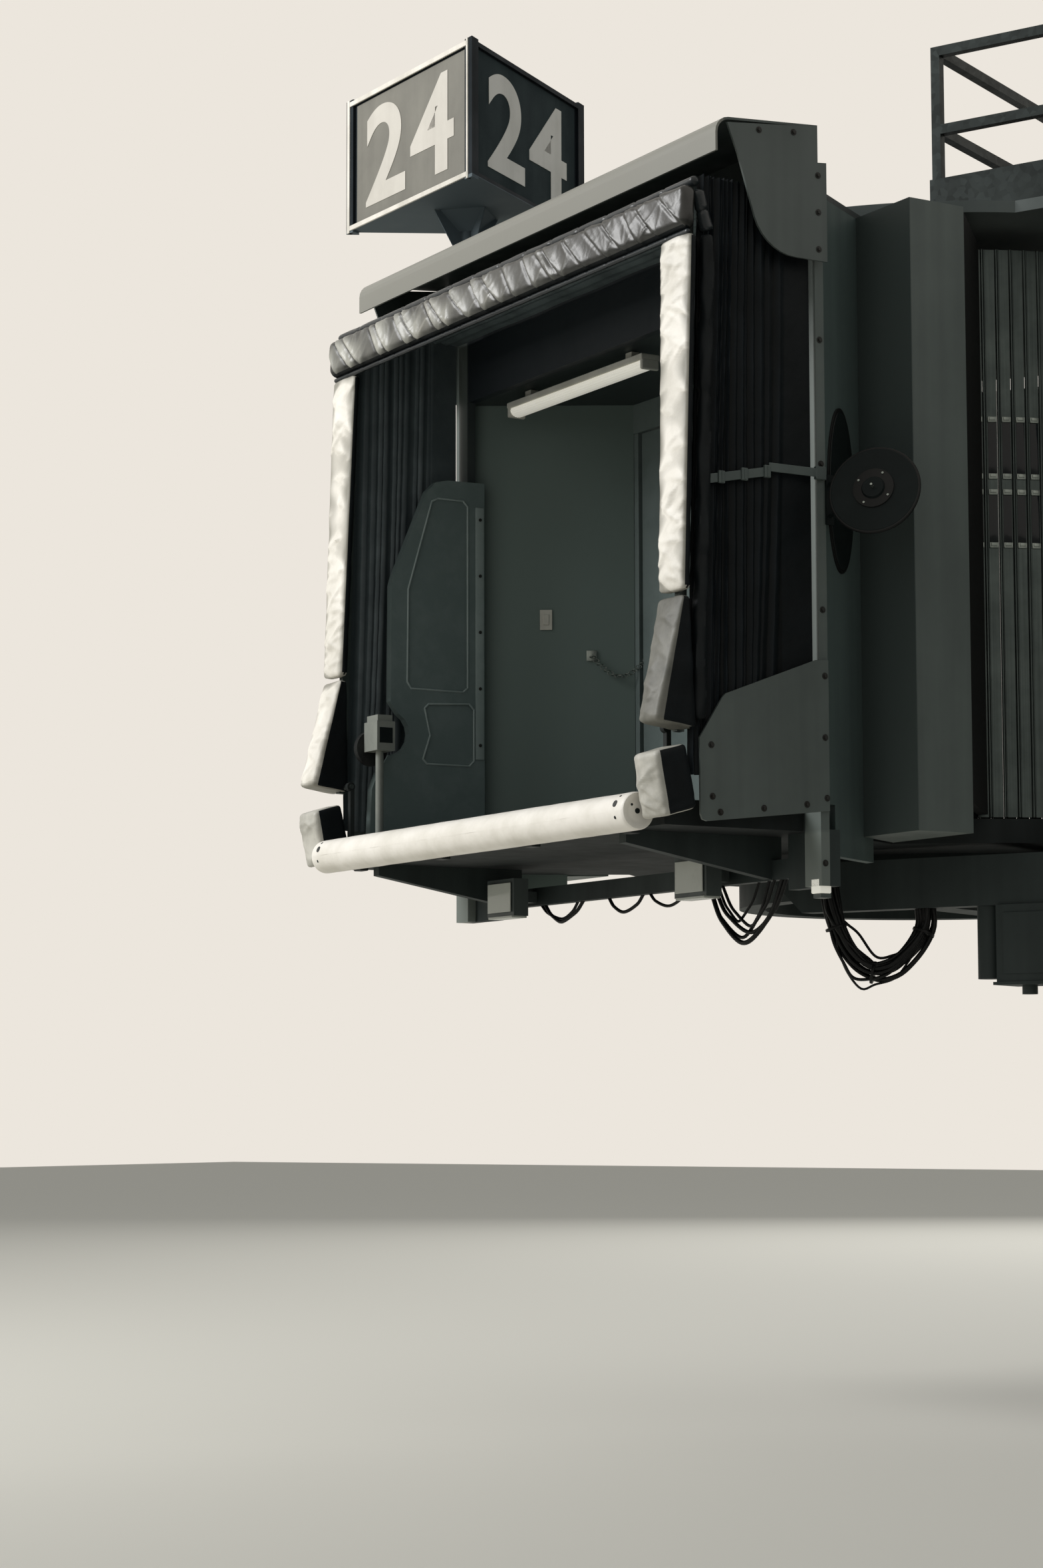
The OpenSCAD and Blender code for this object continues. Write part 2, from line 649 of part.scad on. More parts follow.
module sub_frame() color("slategray") in_cab() {
    translate([front_p - 60, -front_half, sub_z + 56]) cube([60, 2 * front_half, 95]);
    both_sides() {
        translate([front_p - 60, foot_q, sub_z]) cube([60, front_half - foot_q, floor_z - deck_t - fit - sub_z]);
        translate([0, 1260, 0]) rotate([90, 0, 0]) linear_extrude(60)
            polygon([[front_p - 60, sub_z + 60], [front_p - 60, floor_z - deck_t - fit],
                [deck_front, floor_z - deck_t - fit], [deck_front, floor_z - deck_t - 60], [front_p, sub_z + 60]]);
    }
}

module flood_lights() color("silver") in_cab() {
    for (q = [-1000, 840]) translate([front_p + fit, q, sub_z + 70]) {
        cube([120, 60, 60]);
        translate([120, -110, -80]) cube([90, 280, 200]);
    }
    translate([front_p - 20, front_half - 80, sub_z - fit - 55]) cube([60, 60, 55]);
}

guard_t = 50;
guard_q = front_half - post_w - fit;
guard_back = front_p - 30;
press = 8;

// Moulded guard beside the leveller, with two panels pressed into it
module moulded_guard() color("gray") in_cab() difference() {
    translate([0, -guard_q + guard_t, 0]) rotate([90, 0, 0]) linear_extrude(guard_t) polygon(concat(
        [[guard_back, floor_z + fit], [2690, floor_z + fit], [2675, floor_z + 320], [2640, floor_z + 410],
            [2575, floor_z + 514]],
        [for (a = [-120 : -20 : -240]) [2575 + 135 * cos(a), floor_z + 640 + 125 * sin(a)]],
        [[2560, floor_z + 816], [2555, floor_z + 1465], [2540, floor_z + 1520], [2330, floor_z + 2016],
            [2275, floor_z + 2070], [2200, floor_z + 2088], [guard_back, floor_z + 2092]]));
    translate([0, -guard_q + guard_t + eps, 0]) rotate([90, 0, 0]) linear_extrude(press) union() {
        polygon([[guard_back + 110, floor_z + 920], [guard_back + 140, floor_z + 895], [2430, floor_z + 895],
            [2455, floor_z + 930], [2450, floor_z + 1450], [2300, floor_z + 1960], [2260, floor_z + 1980],
            [guard_back + 140, floor_z + 1980], [guard_back + 110, floor_z + 1950]]);
        polygon([[guard_back + 70, floor_z + 510], [guard_back + 100, floor_z + 480], [2330, floor_z + 480],
            [2355, floor_z + 505], [2310, floor_z + 640], [2345, floor_z + 790], [2320, floor_z + 815],
            [guard_back + 100, floor_z + 830], [guard_back + 70, floor_z + 800]]);
    }
}

module ceiling_light() color("white") in_cab() translate([1830, -1330, ceil_z - 95 - fit]) {
    cube([120, 1400, 55]);
    for (q = [150, 1190]) translate([35, q, 45]) cube([50, 60, 50]);
}

mirror_r = 217;

mirror_hub = [-44, 330, 0];
arm_r = 9;

// A round bar between two points
module bar(a, b, r) {
    d = b - a;
    translate(a) rotate([0, acos(d.z / norm(d)), atan2(d.y, d.x)]) cylinder(h = norm(d), r = r);
}

// A convex mirror in a shallow dish, on two arms that spread from its hub to the post
module side_mirror() color("dimgray") in_cab() translate([front_p, front_half + fit, floor_z + 1440]) {
    translate(mirror_hub) rotate([0, 14, 219]) rotate([0, 90, 0]) rotate_extrude($fn = 72) polygon([
        [0, -52], [50, -52], [58, -38], [mirror_r - 12, -20], [mirror_r, -14], [mirror_r, 0], [mirror_r - 8, 4],
        [150, 20], [80, 30], [0, 34]]);
    for (z = [-70, 90]) bar([-20, 6, z], mirror_hub + [20, 20, 8], arm_r);
    translate([-40, 0, -110]) cube([44, 10, 240]);
}

sign_p = 1975;
sign_q = -1720;
sign_face = 62;

sign_r = sign_w / sqrt(3);
trim = 26;

function sign_corner(i, r) = r * [cos(sign_face + 120 * i), sin(sign_face + 120 * i)];

module sign_plan(r) polygon([for (i = [0 : 2]) sign_corner(i, r)]);

// Three-sided sign: faces set back behind a rim, corner posts and a tapered foot on a pole
module gate_sign() color("gray") in_cab() translate([sign_p, sign_q, 0]) {
    translate([0, 0, floor_z + frame_top + fit]) cylinder(h = sign_z - frame_top + 10, r = 45);
    translate([0, 0, floor_z + sign_z - 110]) cylinder(h = 112, r1 = 60, r2 = 190, $fn = 4);
    translate([0, 0, floor_z + sign_z]) linear_extrude(sign_h) sign_plan(sign_r - 36);
    for (z = [0, sign_h - trim]) translate([0, 0, floor_z + sign_z + z]) linear_extrude(trim) sign_plan(sign_r);
    translate([0, 0, floor_z + sign_z - 14]) linear_extrude(sign_h + 28) intersection() {
        sign_plan(sign_r);
        union() for (i = [0 : 2]) translate(sign_corner(i, sign_r)) circle(r = 76);
    }
    translate([-60, -60, floor_z + frame_top + fit]) cube([front_p + frame_d - fit - sign_p + 60, 120, 20]);
}

// Canopy: fixed low cushions, side and top bellows, and the frame that leans forward
module in_canopy() in_cab() translate([hinge_p, 0, floor_z + hinge_h]) rotate([0, -canopy_rest, 0]) children();

// A slab from q1 to q2 whose side is a polygon of p and z
module side_profile(q1, q2, points) translate([0, q2, 0]) rotate([90, 0, 0]) linear_extrude(q2 - q1) polygon(points);

module low_cushions() color("gray") in_cab() both_sides() side_profile(cushion_q, canopy_half, [
    [hinge_p - 28, floor_z - 62], [hinge_p + 151, floor_z - 115], [hinge_p + 209, floor_z + 190],
    [hinge_p + 37, floor_z + 243]]);

frame_side = 40;
bellows_low = floor_z + 90;
bellows_top = floor_z + canopy_top + 70;
bellows_back = front_p + frame_d + fit;

module bellows() color("gray") in_cab() {
    lean = (bellows_top - floor_z - hinge_h) * tan(canopy_rest);
    back = hinge_p - frame_side / 2 - fit;
    both_sides() side_profile(front_half - 30, front_half - fit, [[bellows_back, bellows_low], [back, bellows_low],
        [back, floor_z + hinge_h], [back - lean, bellows_top], [bellows_back, bellows_top]]);
    side_profile(-front_half + 30 + fit, front_half - 30 - fit, [[bellows_back, bellows_top - 30],
        [back - lean, bellows_top - 30], [back - lean, bellows_top], [bellows_back, bellows_top]]);
}

frame_q = 1700;
frame_h = canopy_top - hinge_h;

module canopy_frame() color("darkgray") in_canopy() {
    both_sides() translate([-frame_side / 2, frame_q - frame_side, -30]) cube([frame_side, frame_side, frame_h - 60]);
    both_sides() translate([0, frame_q - frame_side + eps, 0]) rotate([90, 0, 0])
        cylinder(h = frame_q - frame_side - hinge_lug_q + hinge_lug_t + 10, r = hinge_r);
    translate([-frame_side / 2, -frame_q, frame_h - 90 - frame_side]) cube([frame_side, 2 * frame_q, frame_side]);
}

module canopy_pads() color("silver") in_canopy() {
    back = frame_side / 2 + fit;
    front = frame_side / 2 + pad_d;
    both_sides() intersection() {
        rotate([90, 0, 90]) linear_extrude(2 * foot_d) polygon([[canopy_half - pad_w, frame_h - header_h - 10],
            [canopy_half, frame_h - header_h - 10], [canopy_half, -60], [canopy_half - pad_w + 87, -60],
            [canopy_half - pad_w + 50, knee_h]]);
        union() {
            side_profile(canopy_half - pad_w, canopy_half, [[back, knee_h + 8], [front, knee_h + 8],
                [front, frame_h], [back, frame_h]]);
            side_profile(canopy_half - pad_w, canopy_half, [[back, -32], [foot_d, -7], [front, knee_h - 8], [back, knee_h - 8]]);
        }
    }
    side_profile(-canopy_half, canopy_half, [[back, frame_h - header_h], [front + 35, frame_h - header_h + 15],
        [front + 50, frame_h - header_h / 2], [front + 35, frame_h - 25], [back + 30, frame_h], [back, frame_h]]);
}

level_p = hinge_p - 100;
level_q = 1420;
wheel_hub = 560;

// Auto leveller: a feeler wheel and a housing on a post that swings out
module leveller() color("white") in_cab() translate([level_p, -level_q, floor_z + fit]) {
    cylinder(h = wheel_hub, r = 22);
    cylinder(h = 14, r = 45);
    translate([-55, -75, wheel_hub - 45]) cube([110, 150, 160]);
    translate([-45, -62, wheel_hub + 114]) cube([90, 124, 36]);
    translate([0, -85, wheel_hub - 20]) rotate([90, 0, 0]) cylinder(h = 36, r = 95);
    translate([0, -60, wheel_hub - 20]) rotate([90, 0, 0]) cylinder(h = 70, r = 24);
}

rotunda_column();
rotunda_floor();
rotunda_walls();
rotunda_roof();
corridor_walls();
inner_floor();
inner_walls();
inner_roof();
outer_floor();
outer_walls();
outer_roof();
side_beams();
throat_walls();
drum_roof();
roof_platform();
platform_rails();
lift_columns();
axle_beam();
drive_wheels();
service_landing();
service_stair();
stair_rails();
junction_box();
cable_loop();
left_curtain();
right_curtain();
cab_floor();
cab_walls();
cab_ceiling();
front_frame();
door_frame();
curtain_housings();
curtain_seals();
canopy_hood();
side_guards();
bumper();
sub_frame();
flood_lights();
moulded_guard();
ceiling_light();
side_mirror();
gate_sign();
low_cushions();
bellows();
canopy_frame();
canopy_pads();
left_door();
right_door();
leveller();
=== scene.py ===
# %% [markdown]
# # A jet bridge, dressed for its portrait
#
# The solids of this passenger boarding bridge are already built. This lesson gives them
# their paint, cloth, rubber and cable, and models the soft and small pieces that a solid
# modeller leaves plain: the stuffed pads of the canopy, its pleated side curtains, the
# slatted curtains of the round drum, the cables under the cab and the lettering of the sign.
# Everything is in metres. X runs from the fixed column to the cab, Z is up.

# %% Load the solids
import math
import random

import bpy
import numpy as np
from mathutils import Matrix, Vector, noise


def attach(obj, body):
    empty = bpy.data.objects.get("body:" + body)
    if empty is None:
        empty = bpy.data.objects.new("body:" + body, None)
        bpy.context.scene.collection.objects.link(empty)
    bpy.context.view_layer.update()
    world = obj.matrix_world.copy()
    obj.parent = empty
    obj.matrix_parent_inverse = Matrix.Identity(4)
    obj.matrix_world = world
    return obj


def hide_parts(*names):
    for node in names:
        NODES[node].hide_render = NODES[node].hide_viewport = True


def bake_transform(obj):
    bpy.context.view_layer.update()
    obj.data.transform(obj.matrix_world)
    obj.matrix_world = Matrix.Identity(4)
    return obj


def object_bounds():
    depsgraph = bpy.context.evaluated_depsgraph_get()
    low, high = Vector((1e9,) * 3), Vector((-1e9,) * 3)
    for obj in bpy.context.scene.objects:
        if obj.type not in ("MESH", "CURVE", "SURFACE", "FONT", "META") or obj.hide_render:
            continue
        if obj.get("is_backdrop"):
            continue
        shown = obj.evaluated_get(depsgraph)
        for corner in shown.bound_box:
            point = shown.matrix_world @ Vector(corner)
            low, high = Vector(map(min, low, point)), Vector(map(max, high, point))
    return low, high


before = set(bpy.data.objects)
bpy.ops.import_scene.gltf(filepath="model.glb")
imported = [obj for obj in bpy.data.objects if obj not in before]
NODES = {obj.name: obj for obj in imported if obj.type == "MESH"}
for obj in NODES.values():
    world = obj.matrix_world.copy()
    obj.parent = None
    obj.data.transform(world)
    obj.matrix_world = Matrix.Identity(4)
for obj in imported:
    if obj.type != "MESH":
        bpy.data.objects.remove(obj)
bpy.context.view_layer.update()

# %% [markdown]
# ## Where the cab stands
#
# The cab is turned 65 degrees to the left of the tunnel. Its pieces are easier to think of in
# the cab's own directions: p points out of the open front, q to its left, z up. One matrix
# takes such a point, or a whole mesh drawn in those directions, to its place on the bridge.

# %% The cab's own directions
CAB_X = 18.9
CAB_TURN = math.radians(65)
FLOOR_Z = 2.98
TO_CAB = Matrix.Translation((CAB_X, 0, 0)) @ Matrix.Rotation(CAB_TURN, 4, "Z")


def cab(p, q, z):
    """A point given in the cab's directions, as a point of the bridge."""
    return TO_CAB @ Vector((p, q, z))


print("cab front, middle of the sill:", [round(v, 3) for v in cab(2.95, 0, FLOOR_Z)])

# %% [markdown]
# ## The camera first
#
# The picture was taken by someone standing on the apron, so the camera is at eye height and
# looks slightly up. Its place, turn and focal length were found by matching points of the cab.
# The sensor width of 36 mm belongs to the long, upright side of the picture.

# %% Camera
EYE = Vector((10.960, 15.650, 1.568))
YAW = math.radians(304.344)
PITCH = math.radians(5.786)
ROLL = math.radians(-0.121)
FOCAL_PIXELS = 4784.6
PICTURE_HEIGHT = 2357

camera_data = bpy.data.cameras.new("apron_camera")
camera_data.sensor_width = 36.0
camera_data.lens = FOCAL_PIXELS * camera_data.sensor_width / PICTURE_HEIGHT
camera_data.clip_end = 300.0
camera = bpy.data.objects.new("apron_camera", camera_data)
bpy.context.scene.collection.objects.link(camera)
ahead = Vector((math.cos(YAW) * math.cos(PITCH), math.sin(YAW) * math.cos(PITCH), math.sin(PITCH)))
camera.rotation_mode = "QUATERNION"
camera.rotation_quaternion = ahead.to_track_quat("-Z", "Y") @ Matrix.Rotation(ROLL, 3, "Z").to_quaternion()
camera.location = EYE
bpy.context.scene.camera = camera
print("lens:", round(camera_data.lens, 2), "mm")

# %% [markdown]
# ## Small helpers for materials
#
# Colours are written as the hex codes that a paint program shows. Blender works in linear
# light, so one function converts them. Another adds a shader node, sets its properties, and
# fills each input with a value or a link. The rest start a material, colour it by a pattern,
# set one socket of its shader, or give it to a solid.

# %% Colour and node helpers


def hue(code):
    """Turns an sRGB hex code into the linear colour that Blender works with."""
    parts = [int(code[i:i + 2], 16) / 255 for i in (1, 3, 5)]
    return (*[c / 12.92 if c <= 0.04045 else ((c + 0.055) / 1.055) ** 2.4 for c in parts], 1.0)


def add(tree, kind, inputs=None, **settings):
    """Adds one shader node, with its settings, values and links."""
    made = tree.nodes.new(kind)
    for key, value in settings.items():
        setattr(made, key, value)
    for key, value in (inputs or {}).items():
        if isinstance(value, bpy.types.NodeSocket):
            tree.links.new(value, made.inputs[key])
        else:
            made.inputs[key].default_value = value
    return made


def new_material(name):
    """An empty material: its tree, its shader and its object coordinates."""
    material = bpy.data.materials.new(name)
    material.use_nodes = True
    tree = material.node_tree
    shader = tree.nodes["Principled BSDF"]
    place = add(tree, "ShaderNodeTexCoord").outputs["Object"]
    return material, tree, shader, place


def ramp(tree, factor, stops):
    """A colour ramp whose stops are (position, hex code)."""
    made = add(tree, "ShaderNodeValToRGB", {"Fac": factor})
    bar = made.color_ramp.elements
    while len(bar) < len(stops):
        bar.new(1.0)
    for element, (position, code) in zip(bar, stops):
        element.position = position
        element.color = hue(code)
    return made.outputs["Color"]


def colour_by(tree, shader, factor, stops):
    """Colours a material by a pattern, through a ramp."""
    tree.links.new(ramp(tree, factor, stops), shader.inputs["Base Color"])


def set_shader(material, socket, value):
    """Sets one socket of a material's shader."""
    material.node_tree.nodes["Principled BSDF"].inputs[socket].default_value = value


def dress(node, material):
    """Gives a CAD node its material."""
    slots = NODES[node].data.materials
    slots.clear()
    slots.append(material)


# %% [markdown]
# ## Sprayed enamel on sheet steel
#
# The cab, its hood and the tunnel walls are steel sheet, primed and sprayed with two-pack
# enamel. Outdoors it turns satin: dust lies in broad clouds, rain draws fine streaks down
# the walls, and the spray leaves a faint orange peel that only the highlights show. The
# recipe takes a clean and a dirty shade, so that every painted piece ages the same way.

# %% Enamel
# The peel is drawn 4 mm wide, which is 260 bumps a metre.
ORANGE_PEEL = 260.0


def enamel(name, clean, dirty, roughness=0.42, cloud=0.9, streak=7.0):
    """Sprayed enamel with dust clouds (per metre), rain streaks and orange peel."""
    material, tree, shader, place = new_material(name)
    clouds = add(tree, "ShaderNodeTexNoise",
                 {"Vector": place, "Scale": cloud, "Detail": 7.0, "Roughness": 0.62})
    stretched = add(tree, "ShaderNodeMapping", {"Vector": place, "Scale": (streak, streak, 0.35)})
    streaks = add(tree, "ShaderNodeTexNoise",
                  {"Vector": stretched.outputs["Vector"], "Scale": 1.0, "Detail": 5.0})
    both = add(tree, "ShaderNodeMix", {0: 0.45, 2: clouds.outputs["Fac"], 3: streaks.outputs["Fac"]})
    colour_by(tree, shader, both.outputs[0], [(0.36, dirty), (0.6, clean)])
    shine = add(tree, "ShaderNodeMapRange", {"Value": both.outputs[0], "From Min": 0.3, "From Max": 0.7,
                                             "To Min": roughness + 0.14, "To Max": roughness - 0.05})
    tree.links.new(shine.outputs["Result"], shader.inputs["Roughness"])
    grain = add(tree, "ShaderNodeTexNoise", {"Vector": place, "Scale": ORANGE_PEEL, "Detail": 2.0})
    waves = add(tree, "ShaderNodeTexNoise", {"Vector": place, "Scale": 2.2, "Detail": 1.0})
    fine = add(tree, "ShaderNodeBump", {"Height": grain.outputs["Fac"], "Strength": 0.12, "Distance": 0.001})
    bent = add(tree, "ShaderNodeBump", {"Height": waves.outputs["Fac"], "Strength": 0.1, "Distance": 0.03,
                                        "Normal": fine.outputs["Normal"]})
    tree.links.new(bent.outputs["Normal"], shader.inputs["Normal"])
    shader.inputs["IOR"].default_value = 1.5
    shader.inputs["Specular IOR Level"].default_value = 0.3
    return material


# Painted shade: the cab's paint is pale, and both shades are painted much darker for its shaded side.
CAB_CLEAN, CAB_DIRTY = "#656d69", "#545b58"
cab_enamel = enamel("cab_enamel_sprayed_steel", CAB_CLEAN, CAB_DIRTY)
wall_enamel = enamel("tunnel_enamel_ribbed_steel", "#565d5b", "#464c4a", roughness=0.48)
roof_coat = enamel("roof_coating_brushed_on", "#5d6462", "#474e4c", roughness=0.62, streak=2.0)
frame_enamel = enamel("structural_enamel_dark", "#2e3635", "#1f2625", roughness=0.6)
pan_enamel = enamel("floor_pan_enamel", "#1d2323", "#131717", roughness=0.75)
lamp_enamel = enamel("lamp_body_powder_coat", "#4c5351", "#3a403f", roughness=0.4)
print("enamels made")

# %% [markdown]
# ## Enamels with a second shade
#
# In the open air one sheet catches more light than the next. The nose of the hood faces the
# sun and is painted paler, as painted light. The front frame has painted shade between its
# posts and painted light at its foot, the front walls of the curtain housings have painted
# shade from the cab's posts, and the far wall inside the cab has painted light where it is lit
# from the side. The studio's light is more even, so these sheets blend to a second shade past
# a plane of the cab. The plane is given by p, q or z, as X, Y or Z.

# %% Shades by place


def change_where(material, axis, low, high, code, mirrored=False):
    """Paints light and shade: a second shade where the cab's p, q or z lies past low to high."""
    tree = material.node_tree
    shader = tree.nodes["Principled BSDF"]
    place = add(tree, "ShaderNodeTexCoord").outputs["Object"]
    moved = add(tree, "ShaderNodeMapping", {"Vector": place, "Location": (-CAB_X, 0, 0)})
    turned = add(tree, "ShaderNodeMapping",
                 {"Vector": moved.outputs["Vector"], "Rotation": (0, 0, -CAB_TURN)})
    part = add(tree, "ShaderNodeSeparateXYZ", {"Vector": turned.outputs["Vector"]}).outputs[axis]
    if mirrored:
        part = add(tree, "ShaderNodeMath", {0: part}, operation="ABSOLUTE").outputs["Value"]
    share = add(tree, "ShaderNodeMapRange", {"Value": part, "From Min": low, "From Max": high})
    old = shader.inputs["Base Color"].links[0].from_socket
    mixed = add(tree, "ShaderNodeMix", {0: share.outputs["Result"], 6: old, 7: hue(code)}, data_type="RGBA")
    tree.links.new(mixed.outputs[2], shader.inputs["Base Color"])


wall_shade = enamel("cab_wall_enamel_shaded", "#566360", "#485452", roughness=0.5)
# Painted light: the far inner wall is paler where the side light falls on it.
change_where(wall_shade, "Y", -0.95, -1.15, "#66746f")
# Painted light: the nose of the hood faces the sun and is painted paler than the rest of the hood.
hood_enamel_sunlit_nose = enamel("hood_enamel_painted_sunlit_nose", "#5d6461", "#4e5552", roughness=0.36)
change_where(hood_enamel_sunlit_nose, "X", 2.585, 2.60, "#84837b")
frame_front = enamel("front_frame_enamel", CAB_CLEAN, CAB_DIRTY)
# Painted shade between the posts of the front frame, and painted light at its foot.
change_where(frame_front, "Y", 1.62, 1.60, "#20262a", mirrored=True)
change_where(frame_front, "Z", 2.86, 2.84, "#6f7671")
housing_enamel = enamel("curtain_housing_enamel", CAB_CLEAN, CAB_DIRTY)
# Painted shade: the front walls of the curtain housings lie in the shadow of the cab's posts.
change_where(housing_enamel, "X", 1.6195, 1.6215, "#464e4c")
print("enamels with a second shade: 4")

# %% [markdown]
# ## Bare and plated metals
#
# The roof platform, its rails and the service stair are dipped in molten zinc, which freezes
# in spangles a few centimetres across. Years outdoors dull it to a blotchy oxide, so it is
# only half metallic. The slats of the drum's curtains are extruded aluminium, left as they
# come from the press, with faint drawing lines along their length. A true metal has its
# colour in the reflection.

# %% Zinc and aluminium
# A spangle is about 36 mm wide, which is 28 a metre.
ZINC_SPANGLE = 28.0


def zinc(name, light, dark):
    """Hot-dip zinc: spangles of a few centimetres under a dull bloom."""
    material, tree, shader, place = new_material(name)
    cells = add(tree, "ShaderNodeTexVoronoi", {"Vector": place, "Scale": ZINC_SPANGLE})
    bloom = add(tree, "ShaderNodeTexNoise", {"Vector": place, "Scale": 3.0, "Detail": 6.0, "Roughness": 0.6})
    both = add(tree, "ShaderNodeMix", {0: 0.7, 2: cells.outputs["Color"], 3: bloom.outputs["Fac"]})
    colour_by(tree, shader, both.outputs[0], [(0.34, dark), (0.62, light)])
    shine = add(tree, "ShaderNodeMapRange", {"Value": both.outputs[0], "To Min": 0.62, "To Max": 0.4})
    tree.links.new(shine.outputs["Result"], shader.inputs["Roughness"])
    shader.inputs["Metallic"].default_value = 0.45
    shader.inputs["Specular IOR Level"].default_value = 0.2
    return material


def drawn_aluminium(name, light, dark):
    """Mill-finish aluminium with drawing lines along Z and handling marks."""
    material, tree, shader, place = new_material(name)
    pulled = add(tree, "ShaderNodeMapping", {"Vector": place, "Scale": (90, 90, 1.2)})
    lines = add(tree, "ShaderNodeTexNoise", {"Vector": pulled.outputs["Vector"], "Scale": 1.0, "Detail": 3.0})
    marks = add(tree, "ShaderNodeTexNoise", {"Vector": place, "Scale": 5.0, "Detail": 8.0, "Roughness": 0.65})
    both = add(tree, "ShaderNodeMix", {0: 0.6, 2: lines.outputs["Fac"], 3: marks.outputs["Fac"]})
    colour_by(tree, shader, both.outputs[0], [(0.35, dark), (0.65, light)])
    shine = add(tree, "ShaderNodeMapRange", {"Value": both.outputs[0], "To Min": 0.5, "To Max": 0.3})
    tree.links.new(shine.outputs["Result"], shader.inputs["Roughness"])
    shader.inputs["Metallic"].default_value = 0.85
    return material


# Painted shade: both shades of the galvanised steel are painted much darker than weathered zinc.
galvanised = zinc("galvanised_steel", "#2b3130", "#1d2221")
slat_aluminium = drawn_aluminium("slat_mill_finish_aluminium", "#4a5250", "#39403f")
tube_aluminium = drawn_aluminium("anodised_tube", "#4f5654", "#3c4341")
print("metals made")

# %% [markdown]
# ## Rubber, plastics and cable jackets
#
# Solid tyres and brush seals are carbon-black rubber: nearly black, with a grey bloom of dust
# in the low places. The guard beside the leveller is rotation-moulded polyethylene, which
# comes out of its mould with a pebbled skin. Cable jackets are a smoother rubber.

# %% Rubber and plastic


def rubber(name, clean, dusty, roughness=0.7, scale=9.0):
    """Carbon-black rubber with a bloom of dust."""
    material, tree, shader, place = new_material(name)
    dust = add(tree, "ShaderNodeTexNoise", {"Vector": place, "Scale": scale, "Detail": 8.0, "Roughness": 0.7})
    colour_by(tree, shader, dust.outputs["Fac"], [(0.42, clean), (0.72, dusty)])
    skin = add(tree, "ShaderNodeBump", {"Height": dust.outputs["Fac"], "Strength": 0.25, "Distance": 0.002})
    tree.links.new(skin.outputs["Normal"], shader.inputs["Normal"])
    shader.inputs["Roughness"].default_value = roughness
    shader.inputs["Specular IOR Level"].default_value = 0.2
    return material


def moulded(name, clean, worn, roughness=0.5, pebble=420.0):
    """Moulded plastic with the pebbled skin of its tool and paler scuffs."""
    material, tree, shader, place = new_material(name)
    scuff = add(tree, "ShaderNodeTexNoise", {"Vector": place, "Scale": 4.0, "Detail": 9.0, "Roughness": 0.7})
    colour_by(tree, shader, scuff.outputs["Fac"], [(0.45, clean), (0.75, worn)])
    grain = add(tree, "ShaderNodeTexVoronoi", {"Vector": place, "Scale": pebble})
    skin = add(tree, "ShaderNodeBump",
               {"Height": grain.outputs["Distance"], "Strength": 0.2, "Distance": 0.0008})
    tree.links.new(skin.outputs["Normal"], shader.inputs["Normal"])
    shader.inputs["Roughness"].default_value = roughness
    shader.inputs["IOR"].default_value = 1.51
    shader.inputs["Specular IOR Level"].default_value = 0.25
    return material


tyre_rubber = rubber("solid_tyre_rubber", "#141616", "#2b2d2b", roughness=0.8)
seal_rubber = rubber("brush_seal_rubber", "#070909", "#161818", roughness=0.75, scale=30.0)
jacket_rubber = rubber("cable_jacket", "#08090a", "#1a1c1b", roughness=0.45, scale=40.0)
guard_plastic = moulded("guard_polyethylene", "#6b7876", "#7a8583")
white_plastic = moulded("leveller_housing_abs", "#83867f", "#6f726d", roughness=0.35)
black_plastic = moulded("mirror_back_abs", "#141a1a", "#1b2121", roughness=0.5)
set_shader(black_plastic, "Specular IOR Level", 0.1)
lining = moulded("cab_lining_laminate", "#2f3636", "#252b2b", roughness=0.38, pebble=900.0)
door_laminate = moulded("door_laminate_satin", "#6a7573", "#5c6765", roughness=0.4, pebble=900.0)
print("plastics made")

# %% [markdown]
# ## Solids that keep their shape
#
# Most solids are right as they are and only need their finish. A table from finish to nodes
# shows at a glance what is painted, dipped, pressed or moulded. The sign is dressed in its
# own cell, and the nodes that the table leaves out are replaced below.

# %% Dress the solids
NODE_FINISHES = {
    wall_shade: ["cab_walls"],
    frame_front: ["front_frame"],
    cab_enamel: ["side_guards", "lift_columns"],
    housing_enamel: ["curtain_housings"],
    hood_enamel_sunlit_nose: ["canopy_hood"],
    wall_enamel: ["rotunda_walls", "corridor_walls", "inner_walls", "outer_walls", "throat_walls"],
    roof_coat: ["rotunda_roof", "inner_roof", "outer_roof", "drum_roof"],
    frame_enamel: ["rotunda_column", "side_beams", "axle_beam", "sub_frame", "junction_box"],
    pan_enamel: ["rotunda_floor", "inner_floor", "outer_floor", "cab_floor"],
    lamp_enamel: ["flood_lights"],
    galvanised: ["roof_platform", "platform_rails", "service_landing", "service_stair", "stair_rails"],
    slat_aluminium: ["left_curtain", "right_curtain"],
    tube_aluminium: ["canopy_frame"],
    tyre_rubber: ["drive_wheels"],
    seal_rubber: ["curtain_seals"],
    jacket_rubber: ["cable_loop"],
    guard_plastic: ["moulded_guard"],
    white_plastic: ["leveller"],
    black_plastic: ["side_mirror"],
    lining: ["cab_ceiling"],
    door_laminate: ["door_frame", "left_door", "right_door"],
}
for finish, names in NODE_FINISHES.items():
    for name in names:
        dress(name, finish)
print("dressed:", sum(len(names) for names in NODE_FINISHES.values()), "of", len(NODES))

# %% [markdown]
# ## Cloth of the canopy
#
# The pads are foam sewn into polyester cloth with a thick PVC coat, the sort that covers
# lorries. New it is satin; years of weather leave grey dust in the low places. Where it is
# pulled between fixings it folds into sharp creases, and each crease has a bright and a dark
# side. The pleated curtains between the pads and the cab are a thinner black cloth of the same
# kind; the far one is painted grey, as painted light. The weave is a plain one of 0.5 mm
# threads: drawn at 8 mm here, so that it shows.

# %% Coated cloth
# A wave texture of scale s has its bands 2 pi / 20 s apart, which makes 8 mm here.
DRAWN_WEAVE = 250.0 / 6.28


